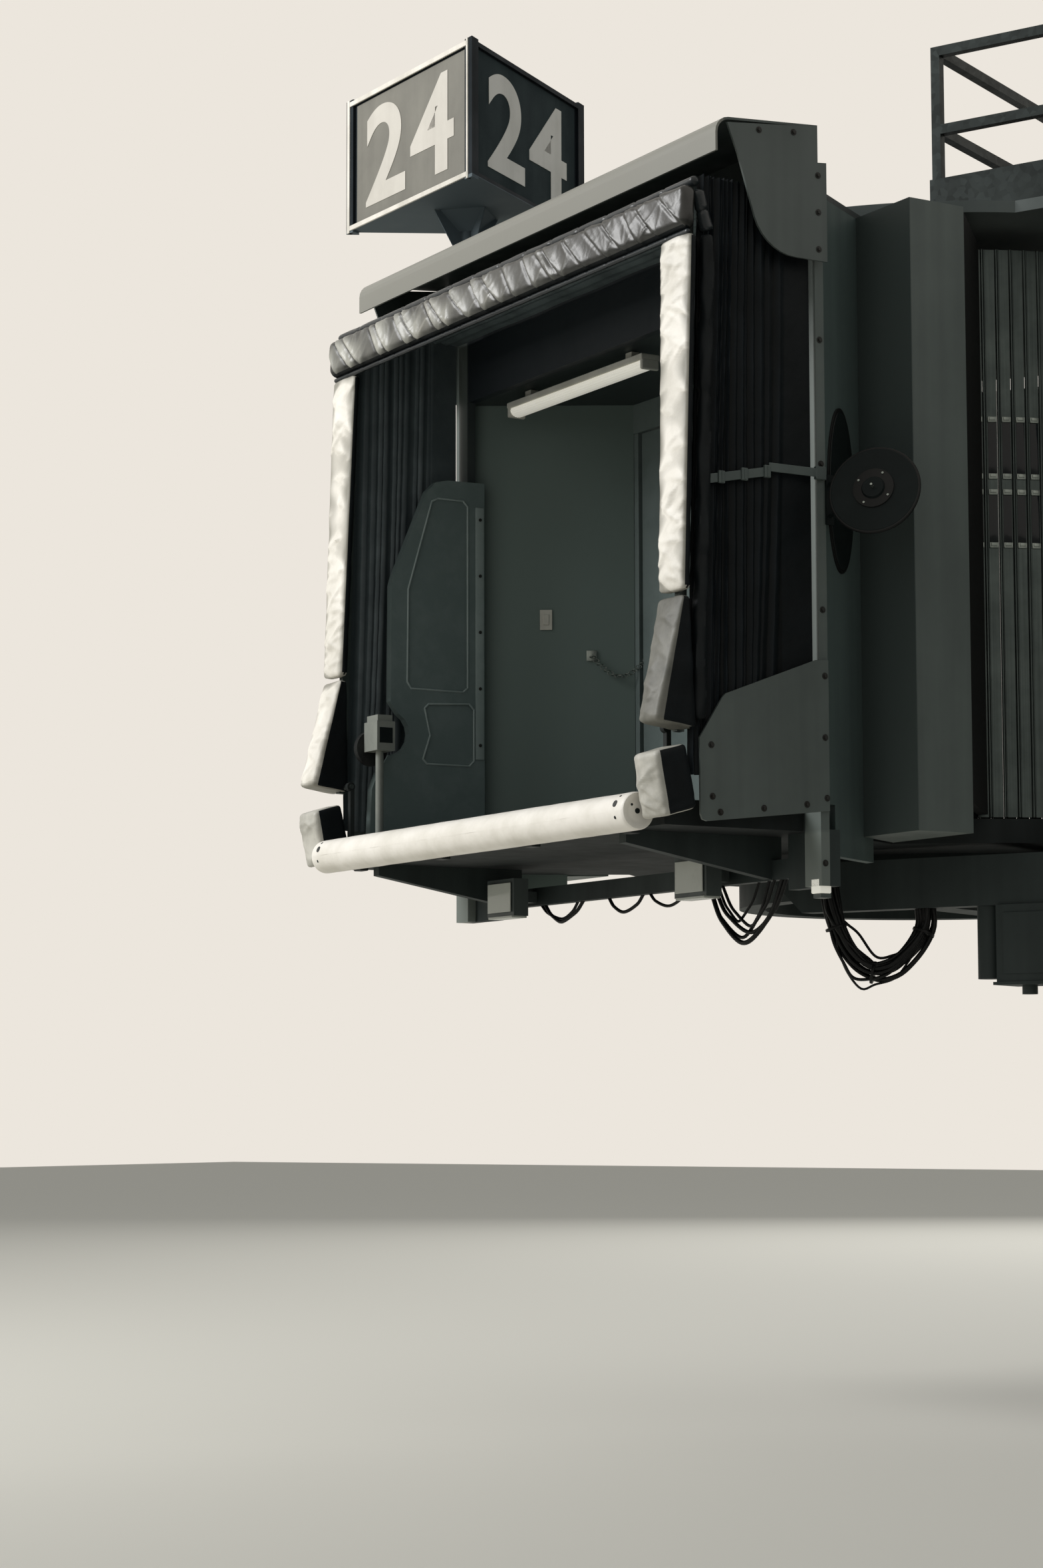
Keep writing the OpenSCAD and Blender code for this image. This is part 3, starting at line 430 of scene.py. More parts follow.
def coated_cloth(name, clean, soiled, roughness):
    """PVC-coated polyester: dust clouds, a plain weave under the coat, soft small dents."""
    material, tree, shader, place = new_material(name)
    dust = add(tree, "ShaderNodeTexNoise", {"Vector": place, "Scale": 3.5, "Detail": 8.0, "Roughness": 0.6})
    colour_by(tree, shader, dust.outputs["Fac"], [(0.38, soiled), (0.6, clean)])
    dents = add(tree, "ShaderNodeTexNoise", {"Vector": place, "Scale": 14.0, "Detail": 3.0, "Roughness": 0.5})
    threads = add(tree, "ShaderNodeTexWave", {"Vector": place, "Scale": DRAWN_WEAVE, "Distortion": 0.5},
                  bands_direction="Z")
    across = add(tree, "ShaderNodeTexWave", {"Vector": place, "Scale": DRAWN_WEAVE, "Distortion": 0.5},
                 bands_direction="DIAGONAL")
    woven = add(tree, "ShaderNodeMath", {0: threads.outputs["Fac"], 1: across.outputs["Fac"]},
                operation="MULTIPLY")
    fine = add(tree, "ShaderNodeBump",
               {"Height": woven.outputs["Value"], "Strength": 0.12, "Distance": 0.0006})
    soft = add(tree, "ShaderNodeBump", {"Height": dents.outputs["Fac"], "Strength": 0.25, "Distance": 0.012,
                                        "Normal": fine.outputs["Normal"]})
    tree.links.new(soft.outputs["Normal"], shader.inputs["Normal"])
    shine = add(tree, "ShaderNodeMapRange", {"Value": dust.outputs["Fac"], "To Min": roughness + 0.15,
                                             "To Max": roughness - 0.05})
    tree.links.new(shine.outputs["Result"], shader.inputs["Roughness"])
    shader.inputs["IOR"].default_value = 1.52
    shader.inputs["Specular IOR Level"].default_value = 0.3
    return material


def shade_folds(material, valley, low, high):
    """Darkens the valleys of a folded cloth as painted shade; the mesh marks them with its fold attribute."""
    tree = material.node_tree
    shader = tree.nodes["Principled BSDF"]
    mark = add(tree, "ShaderNodeAttribute", attribute_name="fold")
    share = add(tree, "ShaderNodeMapRange", {"Value": mark.outputs["Fac"], "From Min": low, "From Max": high})
    old = shader.inputs["Base Color"].links[0].from_socket
    mixed = add(tree, "ShaderNodeMix", {0: share.outputs["Result"], 6: hue(valley), 7: old}, data_type="RGBA")
    tree.links.new(mixed.outputs[2], shader.inputs["Base Color"])


# %% [markdown]
# ## The canopy's cloths
#
# The header pad is grey and glossy and is painted darker towards the near end, as painted
# shade. The upright pads are nearly white, and the wedge on the near side is a darker copy of
# their cloth, as painted shade. The valleys of the folds are painted darker than the ridges,
# as painted shade: in a fold less light reaches the valley.

# %% Cloths of the pads and curtains
pad_cloth = coated_cloth("pad_coated_cloth_pale", "#f1ece2", "#d9d4c9", roughness=0.42)
# Painted shade in the valleys of the pads' folds.
shade_folds(pad_cloth, "#8f8c82", 0.0, 0.35)
header_cloth = coated_cloth("header_coated_cloth_grey", "#b6b4a9", "#92928a", roughness=0.30)
# Painted shade: the header darkens towards its near end, and its fold valleys are darker.
change_where(header_cloth, "Y", -1.2, 0.9, "#2b2c29")
shade_folds(header_cloth, "#1a1b18", 0.12, 0.74)
set_shader(header_cloth, "Specular IOR Level", 0.48)
low_cloth = coated_cloth("low_pad_coated_cloth", "#c4c1b7", "#9c9a91", roughness=0.4)
# Painted shade: the near wedge's cloth is a darker copy of the pads' pale cloth.
near_wedge_cloth_shaded = coated_cloth("near_wedge_cloth_painted_shade", "#75746c", "#575751", roughness=0.45)
# Painted shade: the sides and backs of the pads are painted black.
pad_side_cloth_shaded = coated_cloth("pad_side_cloth_painted_shade", "#12171a", "#0c1012", roughness=0.5)
set_shader(pad_side_cloth_shaded, "Specular IOR Level", 0.12)
# Painted light: the top sheet is the curtains' cloth, painted grey and lighter.
top_sheet_cloth_lit = coated_cloth("top_sheet_cloth_painted_light", "#5b6668", "#454e50", roughness=0.5)
# Painted shade in the valleys of the near curtain's pleats.
near_pleats = coated_cloth("near_curtain_cloth_black", "#1f2529", "#161b1e", roughness=0.45)
shade_folds(near_pleats, "#080c0d", 0.0, 0.85)
set_shader(near_pleats, "Specular IOR Level", 0.1)
# Painted light: the far curtain is the near one's black cloth, painted grey, with painted shade in its
# valleys.
far_pleats_lit = coated_cloth("far_curtain_cloth_painted_light", "#7f8a8d", "#687275", roughness=0.5)
shade_folds(far_pleats_lit, "#30393c", 0.0, 0.85)
print("cloth made")

# %% [markdown]
# ## A stuffed pad
#
# A pad is a sack of cloth round a block of foam. It starts as a flat grid whose rows are wound
# round a rounded section and whose first and last columns close the ends. The section runs
# from a lower to an upper set of four corners, so one recipe makes the straight pads and the
# wedges. Then the cloth is worked along its normals: crowned in the middle, and creased
# along slanted lines, steep on one side and soft on the other, as pulled cloth is.

# %% Helpers for cloth
HINGE_P = 2.8
HINGE = Vector((HINGE_P, 0.0, FLOOR_Z + 0.33))
LEAN = math.radians(1.75)
TO_CANOPY = Matrix.Translation(HINGE) @ Matrix.Rotation(-LEAN, 4, "Y")


def read_points(piece, what="co"):
    """The piece's points, or their normals, as one array."""
    array = np.empty(len(piece.data.vertices) * 3)
    piece.data.vertices.foreach_get(what, array)
    return array.reshape(-1, 3)


def write_points(piece, array):
    """Writes the points back."""
    piece.data.vertices.foreach_set("co", np.ascontiguousarray(array).reshape(-1))
    piece.data.update()


def flat_grid(name, columns, rows):
    """A grid from 0 to 1 both ways. Returns the piece and the two positions of each point."""
    bpy.ops.object.select_all(action="DESELECT")
    bpy.ops.mesh.primitive_grid_add(x_subdivisions=columns, y_subdivisions=rows, size=1.0, location=(0, 0, 0))
    piece = bpy.context.object
    piece.name = name
    piece.data.name = name
    start = read_points(piece) + 0.5
    return piece, start[:, 0], start[:, 1]


def close_up(piece, material, matrix, angle):
    """Merges the seam, turns the faces outwards, moves the mesh to its place and dresses it."""
    bpy.ops.object.select_all(action="DESELECT")
    piece.select_set(True)
    bpy.context.view_layer.objects.active = piece
    bpy.ops.object.mode_set(mode="EDIT")
    bpy.ops.mesh.select_all(action="SELECT")
    bpy.ops.mesh.remove_doubles(threshold=0.0001)
    bpy.ops.mesh.normals_make_consistent(inside=False)
    bpy.ops.object.mode_set(mode="OBJECT")
    bpy.ops.object.shade_smooth_by_angle(angle=math.radians(angle))
    piece.data.transform(matrix)
    piece.data.materials.append(material)


def rounded_section(width, depth, radius, share):
    """Points round a rectangle with round corners, at a share from 0 to 1 of the way round."""
    outline = []
    for cx, cy, first in ((1, 1, 0), (-1, 1, 90), (-1, -1, 180), (1, -1, 270)):
        for step in range(7):
            a = math.radians(first + step * 15)
            outline.append((cx * (width / 2 - radius) + radius * math.cos(a),
                            cy * (depth / 2 - radius) + radius * math.sin(a)))
    outline.append(outline[0])
    outline = np.array(outline)
    run = np.concatenate([[0], np.cumsum(np.linalg.norm(np.diff(outline, axis=0), axis=1))])
    at = share * run[-1]
    return np.interp(at, run, outline[:, 0]), np.interp(at, run, outline[:, 1])


def crease(distance, steep, soft):
    """A ridge that is steep on one side and soft on the other."""
    return np.where(distance < 0, np.exp(distance / steep), np.exp(-distance / soft))


def cloth_noise(points, scale, seed):
    """Slow uneven swelling of the cloth."""
    return np.array([noise.noise(Vector(p) * scale + Vector((seed, 0, 0))) for p in points])


# %% [markdown]
# ## The recipe for a pad
#
# The grid's first direction runs from end to end, its second one round the section. Near an
# end the section shrinks to a point along a quarter circle, which closes the sack. The folds
# come from a function that each pad brings along. Where a fold is high the mesh is marked, so
# that the cloth's valleys can be darkened as painted shade. The front is the pad's own cloth.
# The sides and the back are painted black, as painted shade.

# %% The stuffed pad
SWELLING = 0.004
RIM_WIDTH = 0.06
BACK_SHARE, SIDE_SHARE = 0.12, 0.86


def mark_folds(piece, values):
    """Writes how far each point stands out, from 0 to 1, for the cloth's shade."""
    mark = piece.data.attributes.new("fold", "FLOAT", "POINT")
    mark.data.foreach_set("value", np.clip(values, 0, 1).astype(np.float32))


def stuffed_pad(name, lower, upper, cell, radius, folds, crown, material, seed):
    """A sack between four lower and four upper corners, creased by folds(along, across, front)."""
    lower, upper = np.array(lower, float), np.array(upper, float)
    length = np.linalg.norm(upper.mean(axis=0) - lower.mean(axis=0))
    width = np.linalg.norm((upper[3] - upper[0] + lower[3] - lower[0]) / 2)
    depth = np.linalg.norm((upper[1] - upper[0] + lower[1] - lower[0]) / 2)
    radius = min(radius, 0.45 * depth)
    half = depth / 2
    arc = math.pi / 2 * radius
    run = 2 * (half - radius) + 2 * arc + length - 2 * radius
    piece, u, v = flat_grid(name, round(run / cell), round(2 * (width + depth) / cell))
    s = u * run
    s_end = np.minimum(s, run - s)
    turn = np.clip((s_end - (half - radius)) / radius, 0, math.pi / 2)
    reach = np.where(s_end < half - radius, s_end, half - radius + radius * np.sin(turn)) / half
    inset = np.where(s_end < half - radius + arc, radius * (1 - np.cos(turn)),
                     radius + s_end - (half - radius) - arc)
    along = np.where(u < 0.5, inset, length - inset) / length
    x, y = rounded_section(width, depth, radius, v)
    across, out = x * reach / width + 0.5, y * reach / depth + 0.5
    a, w, d = along[:, None], across[:, None], out[:, None]
    corner = [lower[i] * (1 - a) + upper[i] * a for i in range(4)]
    points = (corner[0] * (1 - d) + corner[1] * d) * (1 - w) + (corner[3] * (1 - d) + corner[2] * d) * w
    write_points(piece, points)
    normals = read_points(piece, "normal")
    if np.sum(normals * (points - points.mean(axis=0))) < 0:
        normals = -normals
    facing = np.clip((out - 0.5) * 2.4, 0, 1)
    near_end = np.clip(np.minimum(along, 1 - along) * length / RIM_WIDTH, 0, 1)
    rim = near_end * np.clip(4 * across * (1 - across), 0, 1)
    creases = folds(along * length, (across - 0.5) * width, facing)
    lift = crown * rim * np.abs(2 * out - 1) + creases * (0.25 + 0.75 * rim)
    lift += SWELLING * cloth_noise(points, 9.0, seed)
    write_points(piece, points + normals * lift[:, None])
    ground, top = np.percentile(lift[out > 0.9], [4, 96])
    mark_folds(piece, (lift - ground) / (top - ground))
    # Painted shade: faces on the sides and at the back get the black second material.
    for face in piece.data.polygons:
        face_out = np.mean(out[list(face.vertices)])
        face_across = np.mean(across[list(face.vertices)])
        side_in_shade = abs(face_across - 0.5) > 0.47 and face_out < SIDE_SHARE
        face.material_index = int(face_out < BACK_SHARE or side_in_shade)
    close_up(piece, material, TO_CAB @ TO_CANOPY, 70)
    piece.data.materials.append(pad_side_cloth_shaded)
    return piece


# %% [markdown]
# ## The header pad
#
# The pad across the top hangs from a tube and is pulled down at fixings along its lower edge.
# Between them the cloth falls in long diagonal folds, and small fans of wrinkles spring from
# each fixing. It leans with the canopy's frame.

# %% Header pad
random.seed(24)
header_fixings = [(-1.74 + 0.166 * i + random.uniform(-0.045, 0.045)) for i in range(22)]
header_slopes = [random.uniform(0.5, 1.0) for _ in header_fixings]
header_depths = [random.uniform(0.012, 0.030) for _ in header_fixings]
header_fans = [[(random.uniform(-1.3, 0.7), random.uniform(0.004, 0.010)) for _ in range(4)]
               for _ in header_fixings]
HEADER_HEIGHT = 0.22


def header_folds(along, across, facing):
    """Diagonal folds between the fixings, with a fan of wrinkles at each."""
    lift = np.zeros_like(along)
    q = along - 1.81
    height = across + HEADER_HEIGHT / 2
    for place, slope, deep, fans in zip(header_fixings, header_slopes, header_depths, header_fans):
        line = q - place + slope * height
        lift += deep * crease(line, 0.010, 0.042) * (1 - 0.35 * height / HEADER_HEIGHT)
        lift -= 0.45 * deep * np.exp(-((line + 0.022) / 0.016) ** 2)
        for slant, small in fans:
            ray = (q - place) + slant * height
            lift += small * np.exp(-np.abs(ray) / 0.008) * np.exp(-height / 0.07)
            hang = (q - place - 0.06) - slant * (HEADER_HEIGHT - height)
            lift += 0.8 * small * np.exp(-np.abs(hang) / 0.009) * np.exp(-(HEADER_HEIGHT - height) / 0.05)
    return lift * facing


PAD_TOP = 2.53


def header_end(q):
    """The four corners of the header's section at one end."""
    return [(0.030, q, PAD_TOP - 0.218), (0.100, q, PAD_TOP - 0.205),
            (0.108, q, PAD_TOP - 0.012), (0.030, q, PAD_TOP - 0.004)]


header = stuffed_pad("header_pad", header_end(-1.80), header_end(1.80), cell=0.0082, radius=0.035,
                     folds=header_folds, crown=0.004, material=header_cloth, seed=3)
print("header pad:", len(header.data.polygons), "faces")

# %% [markdown]
# ## Rolls of cloth along the frame
#
# Spare cloth is wound round the tubes of the canopy's frame and tied at intervals. It shows
# as dark lumpy rolls above and below the header and behind the upright pads. A roll is a grid
# wound round a line, pinched at its ties, swollen unevenly between them by noise, and closed
# at both ends.

# %% Rolls of cloth
SIDES = ((1, "left"), (-1, "right"))


def cloth_roll(name, start, end, radius, ties, material, bumps, seed):
    """Cloth wound round a tube from start to end, gathered at its ties."""
    points = np.array([start, end], float)
    run = np.concatenate([[0], np.cumsum(np.linalg.norm(np.diff(points, axis=0), axis=1))])
    piece, u, v = flat_grid(name, max(20, round(run[-1] / 0.011)), 16)
    centre = np.stack([np.interp(u * run[-1], run, points[:, k]) for k in range(3)], axis=1)
    ahead = points[-1] - points[0]
    ahead /= np.linalg.norm(ahead)
    first = np.cross(ahead, [0.31, 0.27, 0.9] if abs(ahead[2]) < 0.8 else [1.0, 0.2, 0.0])
    first /= np.linalg.norm(first)
    second = np.cross(ahead, first)
    near = np.abs(((u * ties) % 1) - 0.5) * 2
    swell = 1 - 0.22 * np.clip((near - 0.88) / 0.12, 0, 1)
    angle = 2 * math.pi * v
    folds = np.array([noise.noise(Vector((a * run[-1] * 7.0, 1.6 * math.cos(b), 1.6 * math.sin(b) + seed)))
                      for a, b in zip(u, angle)])
    close = np.clip(np.minimum(u, 1 - u) * run[-1] / 0.012, 0, 1)
    size = radius * (swell + bumps * folds) * np.sqrt(close)
    spots = centre + first * (size * np.cos(angle))[:, None] + second * (size * np.sin(angle))[:, None]
    write_points(piece, spots)
    close_up(piece, material, TO_CAB @ TO_CANOPY, 60)
    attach(piece, "canopy")


roll_cloth = coated_cloth("roll_coated_cloth_dark", "#2b3032", "#1c2022", roughness=0.25)
roll_black = coated_cloth("roll_coated_cloth_black", "#14191b", "#0d1113", roughness=0.5)
set_shader(roll_black, "Specular IOR Level", 0.15)
cloth_roll("header_top_roll", (0.030, -1.795, PAD_TOP + 0.018), (0.030, 1.795, PAD_TOP + 0.018),
           radius=0.024, ties=14, material=roll_cloth, bumps=0.12, seed=1)
cloth_roll("header_low_roll", (0.060, -1.790, PAD_TOP - 0.228), (0.060, 1.790, PAD_TOP - 0.228),
           radius=0.013, ties=20, material=roll_cloth, bumps=0.1, seed=2)
for side, word in SIDES:
    foot, knee = (-0.055, side * 1.765, 0.02), (-0.055, side * 1.765, PAD_TOP - 0.22)
    cloth_roll(f"{word}_upright_roll", foot, knee, radius=0.034, ties=3, material=roll_black, bumps=0.34,
               seed=3 + side)
    bend, tip = (-0.055, side * 1.765, PAD_TOP - 0.21), (0.015, side * 1.775, PAD_TOP - 0.02)
    cloth_roll(f"{word}_corner_roll", bend, tip, radius=0.032, ties=2, material=roll_cloth, bumps=0.2,
               seed=6 + side)
print("cloth rolls: 6")

# %% [markdown]
# ## The upright pads
#
# Two long pads hang below the header, and each has a wedge under it that leans out over the
# sill. Their cloth is paler. It is slack at the top, where it gathers in short level
# wrinkles, and pulled tight at the knee.

# %% Upright pads


def upright_folds(seed, count, size, length):
    """Short, nearly level wrinkles, most of them near the two ends."""
    chance = random.Random(seed)
    marks = []
    for _ in range(count):
        place = length * (0.5 + 0.5 * math.copysign(abs(chance.uniform(-1, 1)) ** 0.6, chance.uniform(-1, 1)))
        marks.append((place, chance.uniform(-0.9, 0.9), chance.uniform(0.4, 1.0) * size,
                      chance.uniform(-0.12, 0.12), chance.uniform(0.03, 0.1)))

    def folds(along, across, facing):
        lift = np.zeros_like(along)
        for place, slope, deep, middle, span in marks:
            line = along - place - slope * across
            lift += deep * crease(line, 0.008, 0.03) * np.exp(-((across - middle) / span) ** 2)
        return lift * (0.3 + 0.7 * facing)

    return folds


def section(back, front, inner, outer, back_z, front_z):
    """Four corners of a pad's end, as (p, q, z) for the left side."""
    return [(back, inner, back_z), (front, inner, front_z), (front, outer, front_z), (back, outer, back_z)]


def upright(name, side, lower, upper, size, seed, count, material, crown=0.006):
    """One pad of a pair, whose corners are given for the left side."""
    def turned(corners):
        return [(p, side * q, z) for p, q, z in corners]
    length = upper[0][2] - lower[0][2]
    return stuffed_pad(name, turned(lower), turned(upper), cell=0.0105, radius=0.02,
                       folds=upright_folds(seed, count, size, length), crown=crown, material=material,
                       seed=seed)


KNEE, UNDER_HEADER = 0.612, PAD_TOP - 0.232
pads = [header]
for side, word in SIDES:
    pads.append(upright(f"{word}_upper_pad", side,
                        section(0.028, 0.068, 1.592, 1.806, KNEE, KNEE),
                        section(0.028, 0.066, 1.545, 1.806, UNDER_HEADER, UNDER_HEADER),
                        size=0.014, seed=11 + side, count=60, material=pad_cloth))
    # The near wedge gets the darker copy of the cloth, as painted shade.
    pads.append(upright(f"{word}_wedge_pad", side,
                        section(-0.024, 0.198, 1.634, 1.804, -0.026, -0.003),
                        section(0.028, 0.066, 1.594, 1.804, 0.588, 0.588),
                        size=0.010, seed=31 + side, count=26, material=near_wedge_cloth_shaded if side > 0 else pad_cloth,
                        crown=0.007))
for pad in pads:
    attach(pad, "canopy")
    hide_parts("canopy_pads")
print("pads on the canopy:", len(pads))

# %% [markdown]
# ## The low cushions
#
# Beside the ends of the bumper, two fixed cushions fill the corners below the canopy. They
# don't lean with it, so their corners are given in the cab's directions and taken into the
# canopy's, in which the recipe for a pad works.

# %% Low cushions


def corners_from_cab(points, side):
    """Corners in the canopy's directions, from the cab's."""
    return [TO_CANOPY.inverted() @ Vector((HINGE_P + p, side * q, FLOOR_Z + z)) for p, q, z in points]


for side, word in SIDES:
    low = corners_from_cab(section(-0.022, 0.147, 1.60, 1.804, -0.058, -0.108), side)
    high = corners_from_cab(section(0.040, 0.203, 1.60, 1.804, 0.236, 0.188), side)
    cushion = stuffed_pad(f"{word}_low_cushion", low, high, cell=0.009, radius=0.02,
                          folds=upright_folds(60 + side, 22, 0.012, 0.3), crown=0.006, material=low_cloth,
                          seed=7)
    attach(cushion, "cab")
    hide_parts("low_cushions")
print("low cushions made")

# %% [markdown]
# ## The pleated curtains of the canopy
#
# Between the cab's front and the pads hangs a thin cloth, sewn in pleats so that the canopy
# can lean out. The pleats stand upright, crowd together towards the pads and run slightly
# forward as they go down. Near the cab a flat strip is left. Each side is one sheet: a grid
# whose columns are pushed in and out. It follows the cab at one edge and the leaning canopy
# at the other.

# %% Pleats
BELLOWS_LOW = FLOOR_Z + 0.10
BELLOWS_HIGH = FLOOR_Z + 2.925
BACK = 2.058
FRONT = 2.772
BELLOWS_Q = 1.707
PLEATS_FROM, PLEATS_TO = 0.27, 0.985


def pleats(u, height, seed, loose):
    """How far the cloth stands out, from 0 to 1, at a share u from the cab to the pads."""
    chance = random.Random(seed)
    wave = np.zeros_like(u)
    place = PLEATS_FROM
    while place < PLEATS_TO:
        wide = loose * chance.uniform(0.020, 0.058) * (1.35 - 0.75 * place)
        sway = chance.uniform(-0.035, 0.045)
        drift = (0.035 + sway) * (1 - height) ** 2 * (1 - place) * 2
        line = u - place - drift - 0.008 * np.sin(5 * height + seed + 9 * place)
        deep = chance.uniform(0.55, 1.0)
        wave = np.maximum(wave, deep * np.clip(1 - np.abs(line) / wide, 0, 1) ** 1.35)
        place += wide * chance.uniform(1.15, 1.75)
    return wave


def hang_between(piece):
    """Bakes a sheet's place into its mesh and hides the solid of the bellows."""
    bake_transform(piece)
    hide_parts("bellows")


# %% Side curtains


def side_bellows(name, side, seed, cloth, loose):
    """One side curtain, in the cab's directions."""
    piece, u, v = flat_grid(name, 330, 70)
    height = BELLOWS_LOW + v * (BELLOWS_HIGH - BELLOWS_LOW)
    above = np.maximum(height - HINGE.z, 0)
    front = FRONT - above * math.tan(LEAN)
    p = BACK + u * (front - BACK)
    wave = pleats(u, v, seed, loose)
    slack = 0.35 + 0.65 * np.clip(u * 1.4, 0, 1)
    q = BELLOWS_Q + 0.003 + 0.021 * wave * slack
    q += 0.0015 * np.sin(31 * height + 7 * u) * np.clip(u * 3, 0, 1)
    gather = np.clip((v - 0.965) / 0.035, 0, 1)
    height = height + gather * 0.012 * wave
    write_points(piece, np.stack([p, side * q, height], axis=1))
    # The fold mark drives the painted shade of the valleys; the flat strip near the cab gets less of it.
    mark_folds(piece, wave * slack + 0.25 * (u < 0.25))
    close_up(piece, cloth, TO_CAB, 60)
    hang_between(piece)


side_bellows("near_pleated_curtain", 1, seed=5, cloth=near_pleats, loose=1.0)
side_bellows("far_pleated_curtain", -1, seed=8, cloth=far_pleats_lit, loose=1.6)

# %% [markdown]
# ## The top sheet
#
# Over the pleated sides the same cloth is stretched as a roof, in shallow folds that run
# across the cab. It is painted grey, lighter than the curtains, as painted light.

# %% Top sheet
TOP_WIDTH, TOP_FOLDS = 3.40, 9
piece, u, v = flat_grid("top_pleated_curtain", 90, 60)
front = FRONT - (BELLOWS_HIGH - HINGE.z) * math.tan(LEAN)
p = BACK + u * (front - BACK)
q = -TOP_WIDTH / 2 + TOP_WIDTH * v
fold = np.abs(((u * TOP_FOLDS) % 1) - 0.5) * 2
ridges = 0.020 * (1 - fold) * np.clip(u * 4, 0, 1)
height = BELLOWS_HIGH - 0.024 + ridges + 0.002 * np.sin(9 * q + 6 * u)
write_points(piece, np.stack([p, q, height], axis=1))
close_up(piece, top_sheet_cloth_lit, TO_CAB, 60)
hang_between(piece)

# %% [markdown]
# ## Boxes, joins and copies
#
# Plates, brackets and bolts start as a cube or a cylinder. No real edge is quite sharp, so
# each is bevelled in edit mode, and the bevel catches the light. The parts of one piece are
# joined, taken to their place by one matrix, and given their finish and the body they move
# with.

# %% Helpers for solid pieces


def wide_box(low, high, bevel):
    """A box between two corners whose edges are bevelled in edit mode."""
    bpy.ops.object.select_all(action="DESELECT")
    bpy.ops.mesh.primitive_cube_add(size=1.0, location=(Vector(low) + Vector(high)) / 2)
    made = bpy.context.object
    made.scale = Vector(high) - Vector(low)
    bpy.ops.object.transform_apply(location=True, rotation=False, scale=True)
    if bevel:
        bpy.ops.object.mode_set(mode="EDIT")
        bpy.ops.mesh.select_all(action="SELECT")
        bpy.ops.mesh.bevel(offset=bevel, segments=2, affect="EDGES")
        bpy.ops.object.mode_set(mode="OBJECT")
    return made


def join(name, parts):
    """Joins pieces into the first one and names it."""
    bpy.ops.object.select_all(action="DESELECT")
    for part in parts:
        part.select_set(True)
    bpy.context.view_layer.objects.active = parts[0]
    if len(parts) > 1:
        bpy.ops.object.join()
    parts[0].name = name
    parts[0].data.name = name
    return parts[0]


def copy_of(piece, matrix):
    """A copy with its own mesh, moved by a matrix."""
    made = piece.copy()
    made.data = piece.data.copy()
    made.data.transform(matrix)
    bpy.context.scene.collection.objects.link(made)
    return made


def settle(piece, body, material, node=""):
    """Dresses a piece, rides it on its body and hides the node it stands for."""
    piece.data.materials.clear()
    piece.data.materials.append(material)
    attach(piece, body)
    if node:
        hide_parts(node)


def mount(name, parts, matrix, body, material, node="", smooth=0):
    """Joins the parts of a piece, takes it to its place and settles it."""
    piece = join(name, parts)
    if smooth:
        bpy.ops.object.shade_smooth_by_angle(angle=math.radians(smooth))
    piece.data.transform(matrix)
    settle(piece, body, material, node)
    print(name, len(piece.data.polygons), "faces")


# %% [markdown]
# ## Slatted curtains of the drum
#
# The round drum between tunnel and cab is closed by curtains of upright aluminium slats,
# hooked edge to edge like a shop's roller shutter, so that they wrap round the drum as the
# cab turns. Each slat is a flat strip with a round bead along one edge. A band of the strips
# has narrow windows in two rows, held by small plates. One slat is modelled and then copied
# round the arc, each copy with its own mesh.

# %% One slat
DRUM_R = 1.66
SLAT_LOW = FLOOR_Z + 0.012
SLAT_HIGH = FLOOR_Z + 2.893
SLAT_PITCH = math.radians(2.66)
WINDOW_ROWS = ((4.36, 4.63), (4.71, 5.00))
window_sheet = moulded("slat_window_acrylic", "#10151a", "#1a2022", roughness=0.12, pebble=30.0)
plate_metal = drawn_aluminium("slat_plate_aluminium", "#8f9690", "#737a76")
half = DRUM_R * math.tan(SLAT_PITCH / 2)


def slat_part(low, high, bevel, material):
    """A strip between two corners, given outwards from the drum's circle, across and in height."""
    piece = wide_box((DRUM_R + low[0], low[1], low[2]), (DRUM_R + high[0], high[1], high[2]), bevel)
    piece.data.materials.append(material)
    return piece


slat_parts = [slat_part((-0.003, -half + 0.004, SLAT_LOW), (0.003, half - 0.016, SLAT_HIGH),
                        0.0, slat_aluminium),
              slat_part((-0.014, -half - 0.003, SLAT_LOW), (-0.006, -half + 0.010, SLAT_HIGH),
                        0.0, window_sheet)]
for along, radius in ((half - 0.008, 0.0075), (-half + 0.007, 0.004)):
    bpy.ops.object.select_all(action="DESELECT")
    bpy.ops.mesh.primitive_cylinder_add(vertices=10, radius=radius, depth=SLAT_HIGH - SLAT_LOW,
                                        location=(DRUM_R + 0.006, along, (SLAT_LOW + SLAT_HIGH) / 2))
    bpy.ops.object.transform_apply(location=True, rotation=False, scale=False)
    bead = bpy.context.object
    bead.data.materials.append(slat_aluminium)
    slat_parts.append(bead)
for low, high in WINDOW_ROWS:
    slat_parts.append(slat_part((0.002, -half + 0.014, low), (0.005, half - 0.020, high),
                                0.001, window_sheet))
    for height in (low, high):
        slat_parts.append(slat_part((0.003, -half + 0.013, height - 0.014),
                                    (0.010, half - 0.018, height + 0.014), 0.002, plate_metal))
        slat_parts.append(slat_part((0.009, -half + 0.020, height - 0.005),
                                    (0.014, half - 0.026, height + 0.012), 0.002, plate_metal))
slat = join("slat", slat_parts)
print("one slat:", len(slat.data.polygons), "faces")

# %% [markdown]
# ## Copies of the slat round the drum
#
# A curtain is a row of copies at equal angles, from its first angle to its last. It winds on a
# roller when the cab turns, so one of its edges stays with the tunnel and the other one goes
# with the cab. The short curtain is on the near side, and the long one goes round the back.

# %% Curtains of slats


